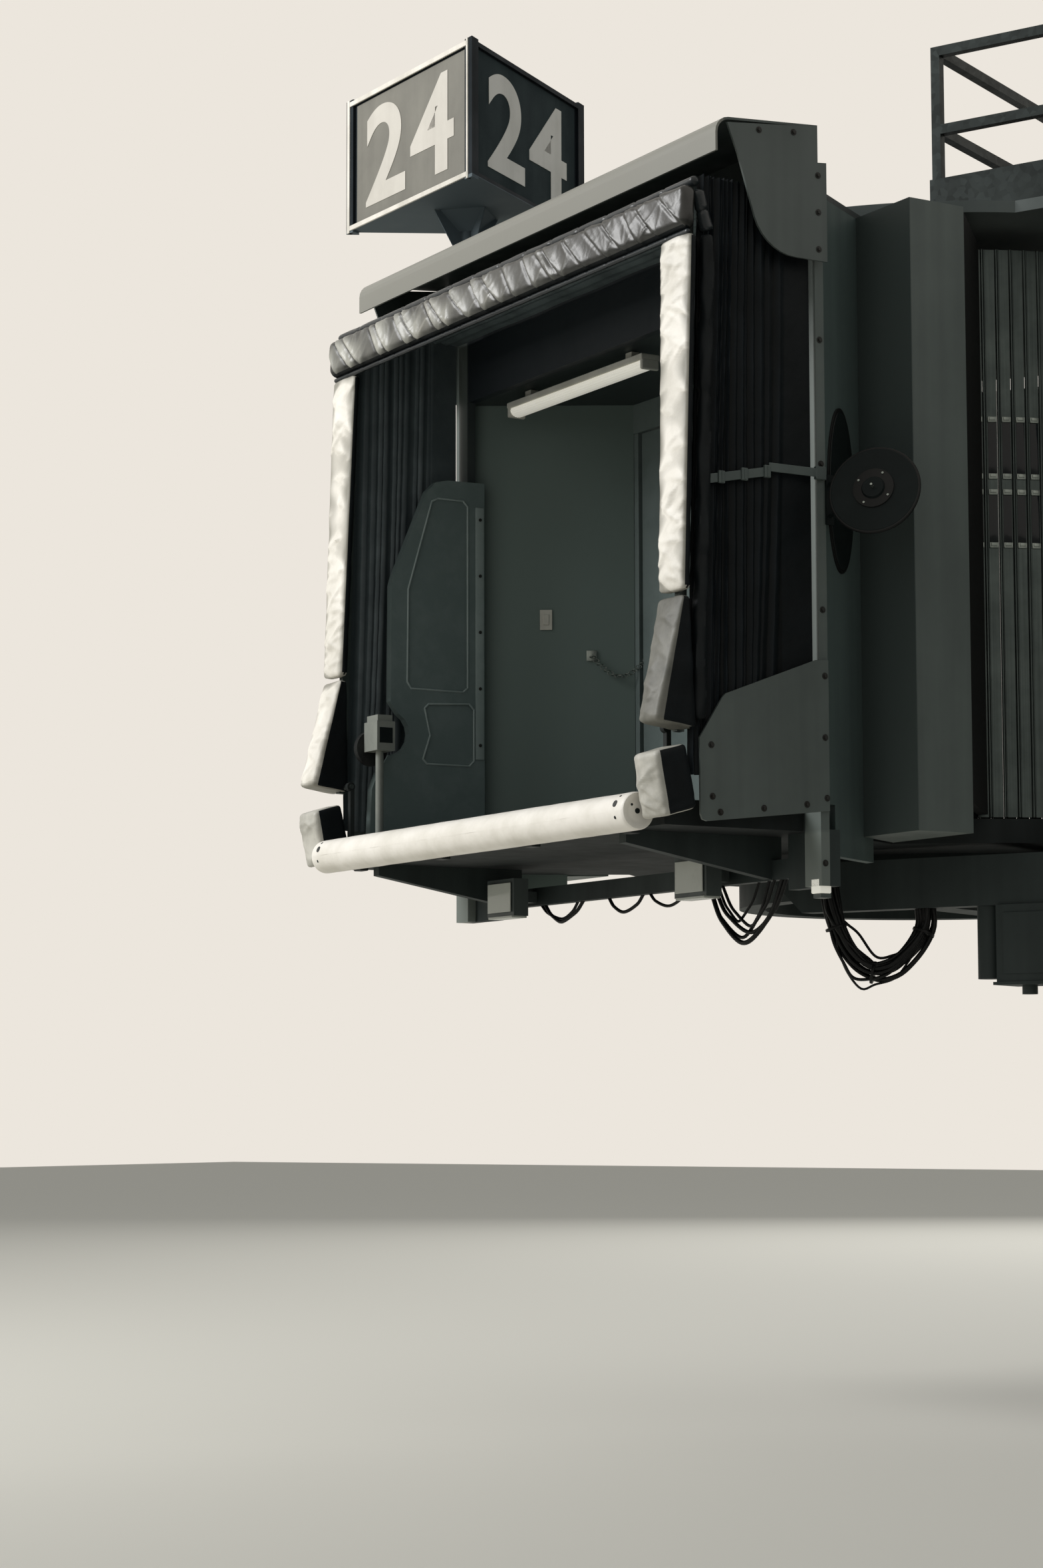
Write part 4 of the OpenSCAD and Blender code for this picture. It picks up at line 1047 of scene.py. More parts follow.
def slatted_curtain(name, first, last, node):
    """Slats from one angle to another round the drum, in degrees."""
    first, last = math.radians(first), math.radians(last)
    count = round((last - first) / SLAT_PITCH)
    step = (last - first) / count
    drum = Matrix.Translation((CAB_X, 0, 0))
    slats = [copy_of(slat, drum @ Matrix.Rotation(first + (i + 0.5) * step, 4, "Z")) for i in range(count)]
    piece = join(name, slats)
    bpy.ops.object.shade_smooth_by_angle(angle=math.radians(35))
    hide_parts(node)
    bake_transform(piece)
    print(name, count, "slats")


slatted_curtain("left_slat_curtain", 124.0, 141.5, "left_curtain")
slatted_curtain("right_slat_curtain", -141.5, 6.0, "right_curtain")
bpy.data.objects.remove(slat)

# %% [markdown]
# ## The bumper's cover
#
# A foam roll across the sill keeps the steel off the aircraft. Its pale cover is laced tight,
# so it shows only faint stretch marks, and each end is a flat disc, set in a little, with a
# pressed rim and three holes.

# %% Bumper
BUMPER_P, BUMPER_Z, BUMPER_HALF = 2.95, FLOOR_Z - 0.062, 1.573
END_RUN = 0.1
END_STEPS = [0, 0.052, 0.060, 0.068, 0.078, 0.09, END_RUN]
END_RADII = [0.0, 0.056, 0.064, 0.074, 0.084, 0.0885, 0.089]
END_INSETS = [0.012, 0.012, 0.006, 0.0, 0.002, 0.010, 0.02]
bumper_cloth = coated_cloth("bumper_cover_cloth_white", "#f4efe6", "#e2ddd2", roughness=0.38)
piece, u, v = flat_grid("bumper_cover", 260, 56)
run = 2 * BUMPER_HALF + 2 * END_RUN
s = u * run
s_end = np.minimum(s, run - s)
radius = np.interp(s_end, END_STEPS, END_RADII)
inset = np.interp(s_end, END_STEPS, END_INSETS)
side = np.where(u < 0.5, -1, 1)
tube = BUMPER_HALF - 0.02 - (s_end - END_RUN) * (BUMPER_HALF - 0.02) / (run / 2 - END_RUN)
q = side * np.where(s_end > END_RUN, tube, BUMPER_HALF - inset)
angle = 2 * math.pi * v
marks = np.array([noise.noise(Vector((a * 9.0, b * 1.2, 4.0))) for a, b in zip(q, angle)])
radius = radius + np.where(s_end > END_RUN, 0.0012 * marks, 0)
p, z = BUMPER_P + radius * np.cos(angle), BUMPER_Z + radius * np.sin(angle)
write_points(piece, np.stack([p, q, z], axis=1))
close_up(piece, bumper_cloth, TO_CAB, 50)
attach(piece, "cab")
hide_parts("bumper")
print("bumper cover:", len(piece.data.polygons), "faces")

# %% [markdown]
# ## Holes and brackets of the bumper
#
# The cover's ends have punched holes and its front has eyelets, and steel brackets hold the
# roll to the sill. The holes are drawn as thin dark discs, painted shade for the inside of a
# hole, because at this size a disc and a hole look the same. The discs share the brackets' black.

# %% Holes and brackets
# The brackets' black enamel, also used as the painted shade of the holes.
black_enamel_and_hole_shade = enamel("bracket_enamel_and_hole_shade", "#1c2222", "#121616", roughness=0.5)


def drum_of(centre, axis, radius, length, sides, bevel):
    """A short round bar with bevelled rims, at a place and along an axis."""
    bpy.ops.object.select_all(action="DESELECT")
    bpy.ops.mesh.primitive_cylinder_add(vertices=sides, radius=radius, depth=length, location=(0, 0, 0))
    made = bpy.context.object
    bpy.ops.object.mode_set(mode="EDIT")
    bpy.ops.mesh.select_all(action="SELECT")
    bpy.ops.mesh.bevel(offset=bevel, segments=2, affect="EDGES", clamp_overlap=True)
    bpy.ops.object.mode_set(mode="OBJECT")
    turn = Vector((0, 0, 1)).rotation_difference(Vector(axis)).to_matrix().to_4x4()
    made.data.transform(Matrix.Translation(centre) @ turn)
    return made


holes = []
for side in (1, -1):
    end = side * (BUMPER_HALF - 0.011)
    for dp, dz, r in ((0.0, 0.0, 0.013), (0.03, 0.028, 0.006), (-0.034, -0.022, 0.006)):
        holes.append(drum_of((BUMPER_P + dp, end, BUMPER_Z + dz), (0, 1, 0), r, 0.004, 16, 0.001))
    for dq, dz, r in ((0.075, 0.035, 0.017), (0.066, 0.070, 0.007), (0.072, -0.030, 0.008)):
        up = math.asin(dz / 0.0895)
        spot = (BUMPER_P + 0.0885 * math.cos(up), side * (BUMPER_HALF - dq), BUMPER_Z + dz)
        holes.append(drum_of(spot, (math.cos(up), 0, math.sin(up)), r, 0.003, 18, 0.0008))
for q in (-1.35, -0.45, 0.45, 1.35):
    holes.append(wide_box((2.822, q - 0.04, FLOOR_Z - 0.148), (2.875, q + 0.04, FLOOR_Z - 0.062), 0.006))
mount("bumper_eyelets_and_brackets", holes, TO_CAB, "cab", black_enamel_and_hole_shade, node="bumper")

# %% [markdown]
# ## The gate sign
#
# A three-sided box of sheet steel stands on a pole over the cab's far corner. Each face is a
# plastic panel set back behind a rim, with large pale figures. The face towards the sun has
# lit copies of the panel and figures and a pale rim, all painted sunlight; the other sides are
# dark. Below the bottom of the box the grey is painted paler, as painted light. The figures
# are generic.

# %% Finishes of the sign
SIGN_P, SIGN_Q = 1.975, -1.72
SIGN_LOW, SIGN_HIGH = FLOOR_Z + 3.690, FLOOR_Z + 4.458
SIGN_R = 1.4 / math.sqrt(3)
SUNNY, SHADED, HIDDEN = 2, 122, 242
sign_frame = enamel("sign_frame_zinc_grey", "#262c30", "#1b2023", roughness=0.6, cloud=3.0)
set_shader(sign_frame, "Specular IOR Level", 0.06)
# Painted light: below the bottom of the box the frame's grey is paler.
change_where(sign_frame, "Z", SIGN_LOW + 0.006, SIGN_LOW + 0.004, "#5d676c")
# Painted sunlight: the sunny face's rim, panel and figures are lit copies of the other faces'.
sunlit_rim = enamel("sign_rim_painted_sunlight", "#efe9df", "#c9c4b9", roughness=0.5, cloud=4.0)
dark_panel = enamel("sign_panel_dark", "#3b4546", "#2e3638", roughness=0.7, cloud=2.5)
set_shader(dark_panel, "Specular IOR Level", 0.03)
shaded_figure = enamel("sign_figure_shaded", "#e9e5db", "#d5d1c6", roughness=0.5, cloud=3.0)
faces = {SUNNY: (enamel("sign_panel_painted_sunlight", "#7d7b72", "#6b6961", roughness=0.35, cloud=2.5),
                 enamel("sign_figure_painted_sunlit_copy", "#cfcac0", "#c0bbb1", roughness=0.45, cloud=3.0)),
         SHADED: (dark_panel, shaded_figure),
         HIDDEN: (dark_panel, shaded_figure)}
dress("gate_sign", sign_frame)
print("sign: faces at", list(faces), "degrees from the cab's front")

# %% [markdown]
# ## Panels and figures of the sign
#
# A panel is a bevelled sheet set back behind the rim. The figures are a text that is made a
# mesh and then stretched to its measured width and height, since the figures of such signs
# are wider than those of a plain typeface.

# %% Panels and figures


def on_face(angle, out):
    """Right, up and outwards on a face of the sign, from the middle of it."""
    normal = Vector((math.cos(math.radians(angle)), math.sin(math.radians(angle)), 0))
    right = Vector((0, 0, 1)).cross(normal)
    turn = Matrix((right, Vector((0, 0, 1)), normal)).transposed().to_4x4()
    middle = Vector((SIGN_P, SIGN_Q, (SIGN_LOW + SIGN_HIGH) / 2)) + normal * out
    return Matrix.Translation(middle) @ turn


PANEL_OUT = (SIGN_R - 0.036) / 2
FIGURE_WIDTH, FIGURE_HEIGHT = 0.98, 0.57
for angle, (panel_finish, figure_finish) in faces.items():
    panel = wide_box((-0.60, -0.350, 0.0), (0.60, 0.350, 0.004), 0.0015)
    mount(f"sign_panel_{angle}", [panel], TO_CAB @ on_face(angle, PANEL_OUT), "cab", panel_finish)
    bpy.ops.object.select_all(action="DESELECT")
    bpy.ops.object.text_add(location=(0, 0, 0))
    words = bpy.context.object.data
    words.body = "24"
    words.size = 0.80
    words.offset = 0.018
    words.extrude = 0.0012
    words.align_x = "CENTER"
    words.align_y = "CENTER"
    words.space_character = 1.12
    bpy.ops.object.convert(target="MESH")
    figures = bpy.context.object
    spots = read_points(figures)
    spots[:, :2] -= (spots[:, :2].max(axis=0) + spots[:, :2].min(axis=0)) / 2
    spots[:, 0] *= FIGURE_WIDTH / np.ptp(spots[:, 0])
    spots[:, 1] *= FIGURE_HEIGHT / np.ptp(spots[:, 1])
    write_points(figures, spots)
    mount(f"sign_figures_{angle}", [figures], TO_CAB @ on_face(angle, PANEL_OUT + 0.0055), "cab",
          figure_finish)

# %% [markdown]
# ## Rim, bolts and gussets of the sign
#
# Four pale bars make the rim of the sunny side, painted sunlight. The corners of the sign are
# bolted, and three upright plates under it brace it on its pole. A plate is a box whose lower
# points are drawn in towards the pole.

# %% Rim of the sunny side
RIM_BARS = (((-0.655, 0.358, -0.002), (0.655, 0.386, 0.010)),
            ((-0.655, -0.386, -0.002), (0.655, -0.358, 0.010)),
            ((-0.685, -0.398, -0.020), (-0.657, 0.398, 0.010)),
            ((0.645, -0.398, -0.020), (0.662, 0.398, 0.010)))
rims = [wide_box(low, high, 0.002) for low, high in RIM_BARS]
mount("sign_rim_sunny", rims, TO_CAB @ on_face(SUNNY, SIGN_R / 2 - 0.004), "cab", sunlit_rim)

# %% Bolts and gussets
BOLTS_OUT = SIGN_R - 0.040
bolts = []
for angle in (62, 182, 302):
    a = math.radians(angle)
    for height in (SIGN_LOW + 0.14, SIGN_HIGH - 0.14):
        spot = (SIGN_P + BOLTS_OUT * math.cos(a), SIGN_Q + BOLTS_OUT * math.sin(a), height)
        bolts.append(drum_of(spot, (math.cos(a), math.sin(a), 0), 0.010, 0.012, 6, 0.002))
FOOT_Z, TOP_Z = SIGN_LOW - 0.235, SIGN_LOW - 0.003
plates = [wide_box((SIGN_P - 0.005, SIGN_Q + 0.03, FOOT_Z), (SIGN_P + 0.005, SIGN_Q + 0.20, TOP_Z), 0.002),
          wide_box((SIGN_P + 0.03, SIGN_Q - 0.005, FOOT_Z), (SIGN_P + 0.22, SIGN_Q + 0.005, TOP_Z), 0.002),
          wide_box((SIGN_P - 0.20, SIGN_Q - 0.005, FOOT_Z), (SIGN_P - 0.03, SIGN_Q + 0.005, TOP_Z), 0.002)]
for plate in plates:
    spots = read_points(plate)
    low = spots[:, 2] < SIGN_LOW - 0.1
    spots[low, 0] = SIGN_P + (spots[low, 0] - SIGN_P) * 0.35
    spots[low, 1] = SIGN_Q + (spots[low, 1] - SIGN_Q) * 0.35
    write_points(plate, spots)
mount("sign_bolts_and_gussets", bolts + plates, TO_CAB, "cab", sign_frame)

# %% [markdown]
# ## Bolts of the cab
#
# Small things tell the eye how big the cab is. The side guards, the posts and the cheeks of
# the hood are bolted on, each bolt with a hexagonal head over a round washer. One bolt is
# modelled and copied to its places on both sides. Rust has made their steel dark.

# %% Bolts of guards, posts and hood
bolt_steel = enamel("bolt_steel_rusty", "#2c2d2b", "#17130f", roughness=0.5, cloud=20.0)
GUARD_BOLTS = [(2.016, 3.583), (2.018, 3.291), (2.010, 3.005), (2.127, 2.970), (2.372, 2.941), (2.616, 2.912),
               (2.659, 2.983), (2.664, 3.221)]
POST_BOLTS = [(2.016, 2.70), (2.016, 3.9), (2.016, 4.6), (2.016, 5.2), (2.016, 5.8)]
HOOD_BOLTS = [(2.06, 5.62), (2.06, 5.80), (2.06, 5.98), (2.20, 6.17), (2.40, 6.15)]
pattern = join("bolt", [drum_of((0, 0.006, 0), (0, 1, 0), 0.010, 0.010, 6, 0.0015),
                        drum_of((0, 0.001, 0), (0, 1, 0), 0.016, 0.003, 20, 0.0006)])
bolts = []
for side in (1, -1):
    flip = Matrix.Rotation(0 if side > 0 else math.pi, 4, "Z")
    for sheet, places in ((1.748, GUARD_BOLTS), (1.736, POST_BOLTS), (1.800, HOOD_BOLTS)):
        for p, z in places:
            bolts.append(copy_of(pattern, Matrix.Translation((p, side * sheet, z)) @ flip))
bpy.data.objects.remove(pattern)
mount("cab_bolts", bolts, TO_CAB, "cab", bolt_steel)

# %% [markdown]
# ## The strap across the folded curtain
#
# A painted flat bar crosses the near curtain where it is folded. A thinner bar goes on from
# it, falling towards the pads, and three catches with a pin each sit on the thin one. They
# are boxes and short bars. The thin bar is a box whose points are sheared to its slope.

# %% Strap
STRAP_SLOPE, STRAP_END = 0.20, 2.68
strap_metal = enamel("strap_painted_flat_bar", "#59625f", "#444c4a", roughness=0.4)
strap_parts = [wide_box((2.010, 1.752, 4.530), (2.330, 1.758, 4.572), 0.002),
               wide_box((2.000, 1.738, 4.520), (2.060, 1.760, 4.582), 0.003)]
thin_bar = wide_box((2.320, 1.748, 4.438), (2.700, 1.753, 4.482), 0.002)
spots = read_points(thin_bar)
spots[:, 2] += (STRAP_END - spots[:, 0]) * STRAP_SLOPE
write_points(thin_bar, spots)
strap_parts.append(thin_bar)
for p in (2.34, 2.47, 2.60):
    z = 4.46 + (STRAP_END - p) * STRAP_SLOPE
    strap_parts.append(wide_box((p - 0.018, 1.747, z - 0.030), (p + 0.018, 1.762, z + 0.030), 0.004))
    strap_parts.append(drum_of((p, 1.762, z), (0, 0, 1), 0.004, 0.05, 10, 0.001))
mount("curtain_strap", strap_parts, TO_CAB, "cab", strap_metal)

# %% [markdown]
# ## Switch, hook and chain
#
# The far inner wall carries a rocker switch and a hook with a chain. That wall runs at a
# slant from the front frame back to the door, so a matrix takes a point given along the
# wall, off it and in height to the cab's directions. The chain's links are rings stretched
# by half, each turned a quarter against the one before, along a sagging line.

# %% Switch
WALL_TURN = math.atan2(1.736 - 1.25, 1.99 - 1.19)
WALL_INNER = 0.05 + 0.004


def on_wall(p, z):
    """The place on the far inner wall that is level with p."""
    q = -(1.25 + (p - 1.19) * math.tan(WALL_TURN)) + WALL_INNER / math.cos(WALL_TURN)
    return Matrix.Translation((p, q, z)) @ Matrix.Rotation(-WALL_TURN, 4, "Z")


plate_white = moulded("switch_plate_abs", "#c9c6bb", "#b3b0a5", roughness=0.35)
plate = wide_box((-0.035, 0.0, -0.058), (0.035, 0.007, 0.058), 0.003)
rocker = wide_box((-0.016, 0.006, -0.030), (0.016, 0.012, 0.030), 0.002)
mount("wall_switch", [plate, rocker], TO_CAB @ on_wall(1.62, 4.306), "cab", plate_white)

# %% Hook and chain
LINKS = 16
hook_parts = [wide_box((-0.03, 0.0, -0.03), (0.03, 0.006, 0.03), 0.002),
              drum_of((0, 0.02, 0.0), (0, 1, 0), 0.007, 0.04, 12, 0.001)]
bpy.ops.object.select_all(action="DESELECT")
for i in range(LINKS):
    bpy.ops.mesh.primitive_torus_add(major_radius=0.011, minor_radius=0.0022, major_segments=12,
                                     minor_segments=6, location=(0, 0, 0))
    link = bpy.context.object
    t = i / (LINKS - 1)
    sag = 0.10 * math.sin(math.pi * t)
    place = Matrix.Translation((-0.005 - 0.30 * t, 0.030, -0.01 - sag - 0.02 * t))
    turn = Matrix.Rotation(math.radians(90 * (i % 2) + 20), 4, "X")
    link.data.transform(place @ turn @ Matrix.Scale(1.5, 4, (1, 0, 0)))
    hook_parts.append(link)
hook_parts.append(wide_box((-0.325, 0.0, -0.060), (-0.295, 0.035, -0.020), 0.002))
mount("wall_hook_and_chain", hook_parts, TO_CAB @ on_wall(1.40, 4.10), "cab", plate_metal, smooth=40)

# %% [markdown]
# ## The ceiling lamp
#
# Under the cab's ceiling hangs a long lamp: a white steel tray with end caps and clips, and
# below it a ribbed acrylic tube that spreads the light. The tube is a grid wound round an
# oval whose radius waves twenty times, so the ribs are real. It glows a little.

# %% Tray of the ceiling lamp
lamp_white = enamel("lamp_tray_white", "#c4c3ba", "#a9a89f", roughness=0.4)
TRAY_Z = 5.440
tray = [wide_box((1.832, -1.328, TRAY_Z + 0.022), (1.948, 0.068, TRAY_Z + 0.054), 0.006)]
for q in (-1.328, 0.044):
    tray.append(wide_box((1.836, q, TRAY_Z - 0.030), (1.944, q + 0.024, TRAY_Z + 0.030), 0.008))
for q in (-1.18, -0.14):
    tray.append(wide_box((1.865, q, TRAY_Z + 0.045), (1.915, q + 0.06, TRAY_Z + 0.095), 0.003))
for q in (-1.0, -0.63, -0.26):
    tray.append(wide_box((1.826, q, TRAY_Z + 0.012), (1.834, q + 0.03, TRAY_Z + 0.030), 0.002))
mount("ceiling_lamp_tray", tray, TO_CAB, "cab", lamp_white, node="ceiling_light")

# %% Diffuser of the ceiling lamp
diffuser = moulded("lamp_diffuser_ribbed_acrylic", "#f1f0e8", "#e6e5da", roughness=0.25, pebble=120.0)
set_shader(diffuser, "Emission Color", hue("#f6f2e4"))
set_shader(diffuser, "Emission Strength", 0.35)
RIBS = 20
piece, u, v = flat_grid("ceiling_lamp_diffuser", 60, 40)
around = 2 * math.pi * v
rib = 1 + 0.03 * np.cos(RIBS * around)
write_points(piece, np.stack([1.89 + 0.046 * rib * np.cos(around), -1.305 + 1.35 * u,
                              TRAY_Z + 0.008 + 0.034 * rib * np.sin(around)], axis=1))
close_up(piece, diffuser, TO_CAB, 40)
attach(piece, "cab")
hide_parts("ceiling_light")
print("diffuser:", RIBS, "ribs")

# %% [markdown]
# ## Lenses of the lamps outside
#
# Each flood light under the front beam has a frosted pane in its front and one in its
# underside, and a small box lamp sits at the foot of the near post. They are thin bevelled
# boxes that stand a little proud of the bodies, so that their edges show.

# %% Lenses
lens_glass = moulded("flood_light_lens", "#b9bcb4", "#a5a8a0", roughness=0.15, pebble=60.0)
FLOOD_LOW = FLOOR_Z - 0.396
lenses = []
for q in (-1.0, 0.84):
    lenses.append(wide_box((2.206, q - 0.09, FLOOD_LOW + 0.022),
                           (2.212, q + 0.15, FLOOD_LOW + 0.178), 0.002))
    lenses.append(wide_box((2.110, q - 0.095, FLOOD_LOW - 0.010),
                           (2.205, q + 0.155, FLOOD_LOW + 0.002), 0.002))
mount("flood_light_lenses", lenses, TO_CAB, "cab", lens_glass)
foot_lamp = wide_box((1.972, 1.650, 2.560), (2.040, 1.722, 2.632), 0.006)
mount("block", [foot_lamp], TO_CAB, "cab", diffuser)

# %% [markdown]
# ## The back of the mirror
#
# The round mirror faces the driver's stand, so it is seen from behind: a black gasket round
# its rim, a hub plate with four screws, and a bright pin. The pieces are drawn flat at the
# origin, and one matrix turns them as the mirror is turned.

# %% Rim, hub and screws of the mirror
to_mirror = (TO_CAB @ Matrix.Translation((1.946, 2.0663, 4.42)) @ Matrix.Rotation(math.radians(219), 4, "Z")
             @ Matrix.Rotation(math.radians(104), 4, "Y"))
rim_black = moulded("mirror_rim_gasket", "#060808", "#0d1010", roughness=0.6)
bpy.ops.object.select_all(action="DESELECT")
bpy.ops.mesh.primitive_torus_add(major_radius=0.2105, minor_radius=0.0095, major_segments=72,
                                 minor_segments=12, location=(0, 0, 0))
ring = bpy.context.object
ring.data.transform(Matrix.Translation((0, 0, -0.009)))
plate = drum_of((0, 0, -0.036), (0, 0, 1), 0.098, 0.010, 48, 0.002)
mount("mirror_rim_and_hub", [ring, plate], to_mirror, "cab", rim_black, smooth=40)
screws = [drum_of((0, 0, -0.066), (0, 0, 1), 0.006, 0.034, 16, 0.001)]
for k in range(4):
    a = math.radians(90 * k + 30)
    spot = (0.083 * math.cos(a), 0.083 * math.sin(a), -0.042)
    screws.append(drum_of(spot, (0, 0, 1), 0.006, 0.005, 10, 0.001))
mount("mirror_pin_and_screws", screws, to_mirror, "cab", plate_metal)

# %% [markdown]
# ## Door jambs
#
# Beside each leaf of the door a laminated jamb closes the gap to the slanted wall. It is a
# plain bevelled board from the sill to the top of the door.

# %% Jambs
jambs = []
for side in (1, -1):
    low_q, high_q = sorted((side * 1.150, side * 1.210))
    jambs.append(wide_box((1.094, low_q, FLOOR_Z + 0.004), (1.187, high_q, FLOOR_Z + 2.391), 0.002))
mount("door_jambs", jambs, TO_CAB, "cab", door_laminate)

# %% [markdown]
# ## Tall oval port in the near wall
#
# The slanted wall behind the near post holds a port of dark acrylic in a rubber rim. Both
# start as round drums of radius one and are stretched to 0.32 by 0.8 m, which keeps their
# bevelled edges.

# %% Port
rim_rubber = rubber("port_rim_rubber", "#080a0a", "#121515", roughness=0.6, scale=30.0)
port_acrylic = moulded("port_smoked_acrylic", "#151b1b", "#101515", roughness=0.3, pebble=700.0)
PORT_PLACE, PORT_HALF = (1.841, 1.6455, 4.502), 0.158
wall_way = Vector((-0.8, -0.486, 0)).normalized()
wall_out = Vector((wall_way.y, -wall_way.x, 0))
on_near_wall = Matrix((wall_way, Vector((0, 0, 1)), wall_out)).transposed().to_4x4()
on_near_wall = Matrix.Translation(PORT_PLACE) @ on_near_wall
for name, half_width, half_height, thick, finish in (
        ("port_rim", PORT_HALF, 0.402, 0.020, rim_rubber),
        ("port_glass", PORT_HALF - 0.014, 0.384, 0.026, port_acrylic)):
    oval = drum_of((0, 0, 0), (0, 0, 1), 1.0, thick, 72, 0.004)
    spots = read_points(oval)
    spots[:, 0] *= half_width
    spots[:, 1] *= half_height
    write_points(oval, spots)
    mount(name, [oval], TO_CAB @ on_near_wall, "cab", finish)

# %% [markdown]
# ## Relief of the moulded guard
#
# The guard beside the leveller is one hollow moulding. Its two sunk panels have raised lips,
# painted pale as a painted highlight, and a flange along its back edge takes the bolts; the
# flange has the same painted highlight. A lip is a chain of short round bars from corner to
# corner of the panel's outline.

# %% Lips and bolts of the guard
# Painted highlight: the lips and the flange are a paler copy of the guard's plastic.
guard_lip_highlight = moulded("guard_lip_polyethylene_painted_highlight", "#929e9b", "#a3adaa", roughness=0.45)
GUARD_FACE = -1.5557
LIP_RADIUS = 0.006
UPPER_PANEL = [(2.070, 0.920), (2.100, 0.895), (2.430, 0.895), (2.455, 0.930), (2.450, 1.450), (2.300, 1.960),
               (2.260, 1.980), (2.100, 1.980), (2.070, 1.950)]
LOWER_PANEL = [(2.030, 0.510), (2.060, 0.480), (2.330, 0.480), (2.355, 0.505), (2.310, 0.640), (2.345, 0.790),
               (2.320, 0.815), (2.060, 0.830), (2.030, 0.800)]
lips = []
for outline in (UPPER_PANEL, LOWER_PANEL):
    for start, end in zip(outline, outline[1:] + outline[:1]):
        a = Vector((start[0], GUARD_FACE, FLOOR_Z + start[1]))
        b = Vector((end[0], GUARD_FACE, FLOOR_Z + end[1]))
        lips.append(drum_of((a + b) / 2, b - a, LIP_RADIUS, (b - a).length + LIP_RADIUS, 10, 0.002))
lips.append(wide_box((1.966, GUARD_FACE, FLOOR_Z + 0.52), (2.020, GUARD_FACE + 0.006, FLOOR_Z + 1.95), 0.002))
mount("moulded_guard_lips", lips, TO_CAB, "cab", guard_lip_highlight, smooth=40)
flange_bolts = []
for k in range(5):
    spot = (1.993, GUARD_FACE + 0.010, FLOOR_Z + 0.60 + 0.32 * k)
    flange_bolts.append(drum_of(spot, (0, 1, 0), 0.010, 0.008, 6, 0.0015))
mount("moulded_guard_bolts", flange_bolts, TO_CAB, "cab", bolt_steel)

# %% [markdown]
# ## Tyre and panel of the leveller
#
# The feeler wheel rolls on the aircraft's skin, so it wears a soft black tyre. The housing's
# face has a smooth dark panel let into it.

# %% Tyre and panel
tyre = drum_of((2.7, -1.523, FLOOR_Z + 0.540), (0, 1, 0), 0.0965, 0.038, 48, 0.004)
mount("leveller_wheel_tyre", [tyre], TO_CAB, "leveller_arm", tyre_rubber, smooth=40)
panel = wide_box((2.660, -1.346, FLOOR_Z + 0.556), (2.740, -1.343, FLOOR_Z + 0.640), 0.001)
mount("leveller_face_panel", [panel], TO_CAB, "leveller_arm", black_plastic)

# %% [markdown]
# ## Cables under the cab
#
# The cab's power and signal cables leave the turning floor in one bundle, hang in a deep
# loop, so that the cab can turn, and go up again into the underside of the tunnel. The bundle
# is a dozen round cables tied together. It is drawn as strands that wander round one centre
# line, with ties where they are gathered. The centre line is the route of the solid.

# %% Routes and cables
LOOP = [(-0.170, 1.560, 2.8597), (-0.170, 1.560, 2.780), (-0.178, 1.558, 2.690), (-0.188, 1.554, 2.600),
        (-0.205, 1.546, 2.510), (-0.230, 1.535, 2.420), (-0.268, 1.518, 2.335), (-0.325, 1.495, 2.265),
        (-0.400, 1.465, 2.230), (-0.480, 1.435, 2.250), (-0.545, 1.410, 2.310), (-0.600, 1.384, 2.390),
        (-0.628, 1.362, 2.470), (-0.628, 1.362, 2.5497)]
LOOP = [Vector((CAB_X + x, y, z)) for x, y, z in LOOP]


def dense_route(points, step):
    """A smooth route through the points, cut to equal steps, and its length."""
    points = [np.array(p) for p in points]
    ends = [2 * points[0] - points[1]] + points + [2 * points[-1] - points[-2]]
    fine = []
    for a, b, c, d in zip(ends, ends[1:], ends[2:], ends[3:]):
        for t in np.linspace(0, 1, 12, endpoint=False):
            cubic = (3 * b - a - 3 * c + d) * t ** 3
            fine.append(0.5 * (2 * b + (c - a) * t + (2 * a - 5 * b + 4 * c - d) * t ** 2 + cubic))
    fine.append(points[-1])
    fine = np.array(fine)
    run = np.concatenate([[0], np.cumsum(np.linalg.norm(np.diff(fine, axis=0), axis=1))])
    at = np.linspace(0, run[-1], max(2, round(run[-1] / step)))
    return np.stack([np.interp(at, run, fine[:, k]) for k in range(3)], axis=1), run[-1]


def cable(name, points, radius):
    """A round cable along the points, from a curve turned into a mesh."""
    data = bpy.data.curves.new(name, "CURVE")
    data.dimensions = "3D"
    data.bevel_depth = radius
    data.bevel_resolution = 3
    data.use_fill_caps = True
    line = data.splines.new("POLY")
    line.points.add(len(points) - 1)
    for spot, place in zip(line.points, points):
        spot.co = (*place, 1.0)
    made = bpy.data.objects.new(name, data)
    bpy.context.scene.collection.objects.link(made)
    bpy.ops.object.select_all(action="DESELECT")
    made.select_set(True)
    bpy.context.view_layer.objects.active = made
    bpy.ops.object.convert(target="MESH")
    return bpy.context.object


route, length = dense_route(LOOP, 0.02)
print("route of the loop:", round(length, 3), "m")

